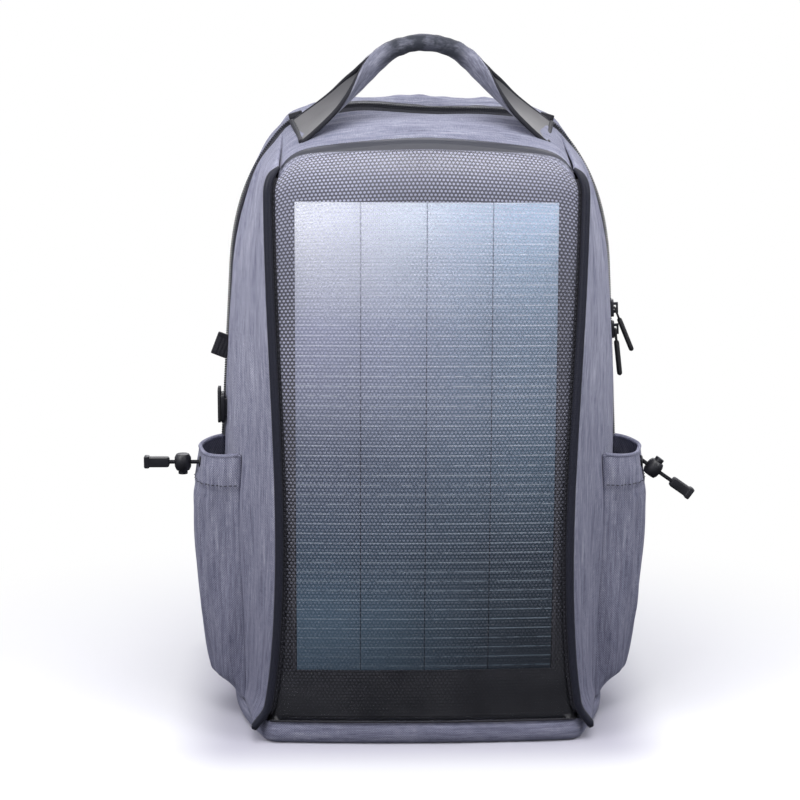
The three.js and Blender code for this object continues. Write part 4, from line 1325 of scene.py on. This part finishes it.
def sleeve_cloth(v, u):
    """A flat pouch on the inner side of the door, open at its top."""
    size = SLEEVE_HIGH - SLEEVE_LOW
    a = math.pi * (u - 0.5)
    x = SLEEVE_LOW[0] + size[0] / 2 + (size[0] / 2 - 0.6) * np.clip(1.06 * np.sin(a), -1, 1)
    y = SLEEVE_HIGH[1] - (size[1] - 1.0) * np.clip(4.0 * np.cos(a), 0, 1)
    z = SLEEVE_LOW[2] + 0.6 + (size[2] - 1.2) * v
    soft = 0.8 * ripple(np.stack([x, y, z], -1), 60, 61) * np.clip(4.0 * np.cos(a) - 0.6, 0, 1)
    return np.stack([x, y + soft, z], -1)


keep(sheet("laptop_sleeve_cloth", grid(sleeve_cloth, 60, 90), [SLEEVE_LINING, LINING], 2.0, -Y),
     "back_door", "lining", "laptop_sleeve")
rim = sleeve_cloth(np.ones(120), np.linspace(0.0, 1.0, 120))
trim(tube("sleeve_binding", rim, 1.6, BINDING, 8), "back_door")
depth = SLEEVE_HIGH[1] - SLEEVE_LOW[1]
foot = np.linspace(SLEEVE_LOW[0] + 2, SLEEVE_HIGH[0] - 2, 60)[:, None] * X
foot = foot + [0, SLEEVE_LOW[1] + depth / 2, SLEEVE_LOW[2] + 1]
keep(ribbon("sleeve_foot", foot, depth / 2 - 0.6, 0.9, SLEEVE_LINING, Y), "back_door", "lining")


# ---------- inflated pads ----------

CLOTH = {"use_pressure": True, "uniform_pressure_force": 4.0, "quality": 5, "mass": 0.3,
         "tension_stiffness": 15, "compression_stiffness": 15, "shear_stiffness": 5,
         "bending_stiffness": 0.5}
CLOTH_STEPS = 20
PAD_SWELL, PAD_SHRINK, PAD_VOXEL = 6.0, 1.2, 5.0
BINDING_CORNER = 18.0


def apply_modifiers(obj):
    made = bpy.data.meshes.new_from_object(obj.evaluated_get(bpy.context.evaluated_depsgraph_get()))
    obj.modifiers.clear()
    old, obj.data = obj.data, made
    bpy.data.meshes.remove(old)


def vertex_rows(obj, field):
    rows = np.zeros(len(obj.data.vertices) * 3)
    obj.data.vertices.foreach_get(field, rows)
    return rows.reshape(-1, 3)


def points_of(obj):
    return vertex_rows(obj, "co") / MM


def set_points(obj, points):
    obj.data.vertices.foreach_set("co", (points * MM).ravel())
    obj.data.update()


def inflate(name, node):
    """A padded piece: the CAD shape remeshed and blown up as cloth, with its swell capped."""
    obj = link(name, NODES[node].data.copy())
    obj.data.materials.clear()
    bm = bmesh.new()
    bm.from_mesh(obj.data)
    bmesh.ops.remove_doubles(bm, verts=bm.verts, dist=1e-5)
    bm.normal_update()
    for vert in bm.verts:
        vert.co -= vert.normal * PAD_SHRINK * MM
    bm.to_mesh(obj.data)
    bm.free()
    bpy.context.view_layer.objects.active = obj
    remesh = obj.modifiers.new("Remesh", "REMESH")
    remesh.mode = "VOXEL"
    remesh.voxel_size = PAD_VOXEL * MM
    apply_modifiers(obj)
    rest = points_of(obj)
    settings = obj.modifiers.new("Cloth", "CLOTH").settings
    settings.effector_weights.gravity = 0
    for key, value in CLOTH.items():
        setattr(settings, key, value)
    for step in range(1, CLOTH_STEPS + 1):
        bpy.context.scene.frame_set(step)
    apply_modifiers(obj)
    bpy.context.scene.frame_set(1)
    move = points_of(obj) - rest
    size = np.linalg.norm(move, axis=1, keepdims=True)
    set_points(obj, rest + move * np.minimum(1, PAD_SWELL / np.maximum(size, 1e-6)))
    finer = obj.modifiers.new("Subdivision", "SUBSURF")
    finer.levels = finer.render_levels = 1
    apply_modifiers(obj)
    obj.data.materials.append(SPACER)
    shade_smooth(obj)
    return obj


def pad_binding(name, node):
    """Binding tape sewn round a pad where it meets the panel."""
    low, high = box_mm(node)
    mid, half = (low + high) / 2, (high - low) / 2 + 1.2 - BINDING_CORNER
    corners = []
    for sx, sz, start in ((1, 1, 0), (-1, 1, 90), (-1, -1, 180), (1, -1, 270)):
        for a in np.radians(np.linspace(start, start + 90, 9)):
            corners.append((mid[0] + sx * half[0] + BINDING_CORNER * math.cos(a), 0,
                            mid[2] + sz * half[2] + BINDING_CORNER * math.sin(a)))
    loop = resample(np.array(corners + corners[:1]), step=3.0)
    loop[:, 1] = rear_surface(loop[:, 0], loop[:, 2]) + 0.4
    inward = unit(np.cross(unit(np.gradient(loop, axis=0)), Y))
    trim(ribbon(name, loop, 2.6, 0.7, BINDING, inward), "back_door")
    seam = loop - 1.2 * inward + 0.75 * Y
    trim(stitches(name + "_stitch", [(seam, Y)], THREAD), "back_door")


def pad(name, node, seed, channels, binding):
    """A quilted pad on the back panel.

    channels gives the distance to each sewn channel and its depth, from points about the pad's
    middle and the points themselves.
    """
    obj = inflate(name, node)
    p = points_of(obj)
    low, high = box_mm(node)
    depth = sum(-sink * groove(distance, 3.2) for distance, sink in channels(p - (low + high) / 2, p))
    back = np.maximum(vertex_rows(obj, "normal")[:, 1], 0)
    p = p + Y * (back * (depth + 0.5 * ripple(p, 14, seed)))[:, None]
    set_points(obj, np.maximum(p, [-999, BACK_Y - 1.0, -999]))
    keep(obj, "back_door", "spacer_mesh", node)
    pad_binding(binding, node)


def back_channels(q, _):
    return [(q[:, 2] - at - 6.0 * np.cos(q[:, 0] / 22.0), 3.4) for at in (-52, -17, 17, 52)]


def lumbar_channels(_, p):
    return [(p[:, 0] - at, 3.2) for at in (-52, 0, 52)]


for _, side in SIDES:
    pad(f"{side}_pad", f"{side}_back_pad", 71, back_channels, f"{side}_pad_binding")
pad("lumbar", "lumbar_pad", 72, lumbar_channels, "lumbar_binding")


# ---------- luggage belt ----------


def belt_cloth(u, v):
    y = BACK_Y + 14.9 - 12.1 * np.abs(2 * u - 1) ** 10
    p = np.stack([-113 + 226 * u, y, 126 + 50 * v], -1)
    return p + Y * (0.7 * ripple(p, 40, 81, (1.5, 1, 1)) * np.sin(math.pi * u))[..., None]


keep(sheet("belt_cloth", grid(belt_cloth, 120, 24), [SPACER_PANEL, LINING], 1.8, Y),
     "back_door", "spacer_mesh", "luggage_belt")
for name, v in (("lower", 0.0), ("upper", 1.0)):
    path = belt_cloth(np.linspace(0, 1, 120), np.full(120, v)) - 0.4 * Y
    trim(ribbon(f"belt_{name}_binding", path, 3.4, 1.5, BINDING, Z), "back_door")
rows = [(belt_cloth(np.full(30, x), np.linspace(0.04, 0.96, 30)) + 0.35 * Y, Y)
        for x in (0.006, 0.022, 0.978, 0.994)]
trim(stitches("belt_stitch", rows, THREAD), "back_door")


# ---------- shoulder straps ----------

STRAP_PATH = [(40, BACK_Y + 9.5, 410), (47, BACK_Y + 28, 394), (66, BACK_Y + 46, 345),
              (94, BACK_Y + 46, 270), (112, BACK_Y + 37, 197)]
STRAP_FOOT = np.array([124, BACK_Y + 6.4, 66])
LOCK_AT = np.array([114, BACK_Y + 34, 176.0])
WING = [np.array([x, 0.0, z]) for x, z in ((-17, -9), (17, -15), (17, 17), (-2, 12))]
WING_AT = np.array([STRAP_FOOT[0] - 9, BACK_Y + 0.4, STRAP_FOOT[2] - 18])
BAR = 3.8                    # half the height of the webbing's loop round the ladder lock's bar


def strap_width(t):
    return 58 - 20 * np.maximum(0, 1 - 5 * t) - 18 * np.maximum(0, 4 * t - 3)


def pad_section(count=23):
    """A padded strap's cross-section: crowned outside, flatter inside, pulled in at its sewn rims."""
    x = np.cos(np.linspace(0, math.pi, count))
    crown = (1 - np.abs(x) ** 3.2) - 0.34 * groove(np.abs(x) - 0.74, 0.07)
    under = -0.62 * (1 - np.abs(x) ** 4)
    return np.concatenate([np.stack([x, crown], 1), np.stack([x, under], 1)[-2:0:-1]])


def quilt_strap(obj, path):
    """Sewn rungs across the outside of a strap and soft wrinkles."""
    p = points_of(obj)
    near = np.linalg.norm(p[:, None] - path[None, ::3], axis=2).argmin(1) * 3
    t = near / (len(path) - 1)
    inside = strap_width(t) / 2 * 0.72 - np.abs(p[:, 0] - path[near, 0])
    rung = np.sin(t * math.pi * 8) ** 10 * -1.3 * smooth(inside, 0, 3)
    set_points(obj, p + vertex_rows(obj, "normal") * (rung + 0.3 * ripple(p, 15, 91))[:, None])


def cross_bar(middle, reach, count):
    return middle + np.linspace(-reach, reach, count)[:, None] * X


def wing_cloth(u, v):
    """The right wing tab, puffed between its edges."""
    a, b, c, d = WING
    u, v = u[..., None], v[..., None]
    flat = (a * (1 - u) + b * u) * (1 - v) + (d * (1 - u) + c * u) * v
    return WING_AT + flat + 2.9 * (1 - (2 * u - 1) ** 6) * (1 - (2 * v - 1) ** 6) * Y


def strap_pad(side, strap, flip):
    fine = spline(STRAP_PATH, 300) * flip
    facing = np.sign(frames(fine, X)[1][150, 1])
    obj = sweep(f"{side}_strap_pad", fine, pad_section() * [1, facing],
                strap_width(np.linspace(0, 1, 300)) / 2, 6.4, [HEATHER, SPACER], side=X, split=0.5)
    quilt_strap(obj, fine)
    keep(obj, strap, "heather_fabric", f"{side}_shoulder_pad")


def strap_trim(side, strap, flip):
    """Binding round the pad, the stitched webbing down its middle, and its root at the yoke."""
    path = spline(STRAP_PATH, 120) * flip
    s, up = frames(path, X)
    outer = up * np.where(up[:, 1:2] < 0, -1, 1)
    half = (strap_width(np.linspace(0, 1, 120)) / 2 - 0.2)[:, None]
    one, other = path - s * half, path + s * half
    end = resample(np.array([one[-1], other[-1]]), 12)[1:-1]
    loop = resample(np.concatenate([one, end, other[::-1]]), step=3.0)
    trim(tube(f"{side}_strap_binding", loop, 1.9, BINDING, 9), strap)
    part = slice(14, 108)
    web = (path + outer * 6.9)[part]
    keep(ribbon(f"{side}_strap_daisy", web, 9.0, 0.75, WEBBING, X), strap, "webbing")
    rows = [(web + s[part] * 7.4 * k + outer[part] * 0.8, outer[part]) for k in (-1, 1)]
    trim(stitches(f"{side}_strap_stitch", rows, THREAD), strap)
    top = path[0]
    anchor = spline([top + [0, -1.0, 9.0], top + [0, 0.5, 2], path[4]], 20)
    bend(ribbon(f"{side}_strap_root", anchor, 17, 2.0, BINDING, X), "black_binding", "back_door", strap,
         tuple((top + [0, 0, 5]) * MM), tuple((top - [0, 0, 8]) * MM))
    bar = cross_bar(top + [0, -7.6, 12.0], 17, 20)
    trim(ribbon(f"{side}_strap_yoke", bar, 9, 1.0, BINDING, Z), "back_door")


def strap_webbing(side, strap, flip):
    """The webbing through the ladder lock, its hemmed end, and the lock's hanger."""
    foot = STRAP_FOOT - LOCK_AT
    points = [foot, foot * [0.6, 0.7, 0.6], (foot[0] * 0.15, -BAR - 3, foot[2] * 0.2), (0, -BAR, -8),
              (0, -BAR, 2), (0, 0, 7.2), (0, BAR, 2), (0, 7.6, -7), (0, 9.6, -16), (1, 9, -40),
              (2, 8, -78)]
    web = (spline(points, 220) + LOCK_AT) * flip
    keep(ribbon(f"{side}_strap_webbing", web, 12.5, 0.75, WEBBING, X),
         strap, "webbing", f"{side}_webbing")
    keep(ribbon(f"{side}_webbing_hem", cross_bar(web[-1], 12.8, 14), 4.5, 1.5, WEBBING, Z),
         strap, "webbing")
    hanger = [(LOCK_AT + at) * flip for at in ([-2, 1.5, 21], [-1, 1.8, 12], [-0.5, 2.3, 7.5])]
    keep(ribbon(f"{side}_lock_hanger", spline(hanger, 16), 12.5, 0.9, WEBBING, X), strap, "webbing")


def strap_wing(side, flip):
    cloth = sheet(f"{side}_wing", grid(wing_cloth, 24, 24) * flip, [HEATHER, BINDING], 1.4, Y)
    keep(cloth, "back_door", "webbing", f"{side}_wing_tab")
    up, low, high = np.linspace(0, 1, 16), np.zeros(16), np.ones(16)
    ring = [wing_cloth(*edge) for edge in ((up, low), (high, up), (up[::-1], high), (low, up[::-1]))]
    ring = resample(np.concatenate(ring) * flip, step=1.5)
    trim(tube(f"{side}_wing_binding", ring, 1.2, BINDING, 7), "back_door")


for sign, side in SIDES:
    flip = np.array([sign, 1, 1])
    strap_pad(side, f"strap_{side}", flip)
    strap_trim(side, f"strap_{side}", flip)
    strap_webbing(side, f"strap_{side}", flip)
    strap_wing(side, flip)
    soften(f"{side}_ladder_lock", PLASTIC)


# ---------- camera, light and floor ----------

TARGET = Vector((0, -0.076, 0.221))
AZIMUTH, ELEVATION, DISTANCE = math.radians(-2.6), math.radians(13), 1.384
WORLD_FILL = 0.30


def aim(obj, place, target):
    """Puts the object at a place, facing the target."""
    obj.location = place
    obj.rotation_mode = "QUATERNION"
    obj.rotation_quaternion = (Vector(target) - Vector(place)).to_track_quat("-Z", "Y")


def camera():
    data = bpy.data.cameras.new("Camera")
    data.lens = 90
    data.sensor_width = 36
    data.shift_x = -26 / 800
    data.shift_y = 43 / 800
    obj = link("Camera", data)
    away = Vector((math.sin(AZIMUTH) * math.cos(ELEVATION), -math.cos(AZIMUTH) * math.cos(ELEVATION),
                   math.sin(ELEVATION)))
    aim(obj, TARGET + away * DISTANCE, TARGET)
    obj.rotation_quaternion = obj.rotation_quaternion @ Quaternion((0, 0, 1), math.radians(0.5))
    bpy.context.scene.camera = obj


def area(name, place, target, size, power, colour=(1, 1, 1)):
    data = bpy.data.lights.new(name, "AREA")
    data.size = size
    data.energy = power
    data.color = colour
    aim(link(name, data), place, target)


def world():
    """White behind everything. Reflections see a dark floor and a bright ceiling."""
    w = bpy.data.worlds.new("Studio")
    w.use_nodes = True
    bpy.context.scene.world = w
    k = Nodes(w.node_tree)
    height = k.split(k.add("TexCoord", "Generated"))[2] * 0.5 + 0.5
    stops = [(0.30, (0.02, 0.02, 0.03)), (0.5, (0.35, 0.37, 0.45)), (0.62, (0.9, 0.9, 1.0)),
             (1, (1.2, 1.2, 1.25))]
    seen = k.add("Background", Color=k.ramp(height, stops), Strength=1.0)
    fill = k.add("Background", Color=(0.92, 0.93, 1.0, 1), Strength=WORLD_FILL)
    white = k.add("Background", Color=(1, 1, 1, 1), Strength=1.0)
    shader = k.either(k.add("LightPath", "Is Glossy Ray"), fill, seen)
    shader = k.either(k.add("LightPath", "Is Camera Ray"), shader, white)
    out = k.tree.nodes.new("ShaderNodeOutputWorld")
    k.tree.links.new(shader.socket, out.inputs[0])


def floor():
    """A pale floor with a painted shadow round the bag's base; it takes shadows near the bag and is
    plain white further out.
    """
    bpy.ops.mesh.primitive_plane_add(size=400, location=(0, 0, 0))
    obj = bpy.context.object
    obj.name = "floor"
    k = Look("Pale floor")
    colour = k.mix(k.noise(k.place, 3), (0.86, 0.86, 0.90), (0.90, 0.90, 0.93))
    # Painted shadow: a darker, lilac floor colour within 60 mm of the base's footprint.
    beside = k.most(abs(k.x) - 0.13, 0.0)
    before = k.most(abs(k.y - 0.025) - 0.10, 0.0)
    colour = k.mix(k.span(k.hypot(beside, before), 0.0, 0.060), (0.58, 0.57, 0.65), colour)
    seen = k.add("LightPath", "Is Camera Ray")
    lit = k.add("BsdfPrincipled", Base_Color=k.mix(seen, (0.20, 0.20, 0.22), colour), Roughness=0.9,
                Specular_IOR_Level=0.1)
    dim, bright = [k.add("Emission", Color=(1, 1, 1, 1), Strength=power) for power in (0.25, 1.0)]
    fade = k.span(k.hypot(k.x, k.y), 0.22, 0.52)
    obj.data.materials.append(k.surface(k.either(fade, lit, k.either(seen, dim, bright))))
    obj.visible_glossy = False


camera()
world()
floor()
area("Overhead", (0.0, -0.45, 1.7), (0, 0, 0.35), 1.2, 17, (1, 0.99, 0.98))
area("Front left", (-1.6, -1.9, 1.5), (0, 0, 0.3), 1.4, 14, (0.97, 0.97, 1.0))
area("Front right", (1.8, -1.7, 1.3), (0, 0, 0.3), 1.2, 8, (0.95, 0.97, 1.0))
area("Left wing", (-1.05, -0.75, 1.1), (-0.1, 0, 0.36), 0.6, 7, (0.97, 0.97, 1.0))
area("Right wing", (1.05, -0.75, 1.1), (0.1, 0, 0.38), 0.6, 6, (0.97, 0.98, 1.0))
area("Behind", (0.3, 2.2, 1.7), (0, 0, 0.25), 1.6, 22)
bpy.context.scene.view_settings.view_transform = "Standard"
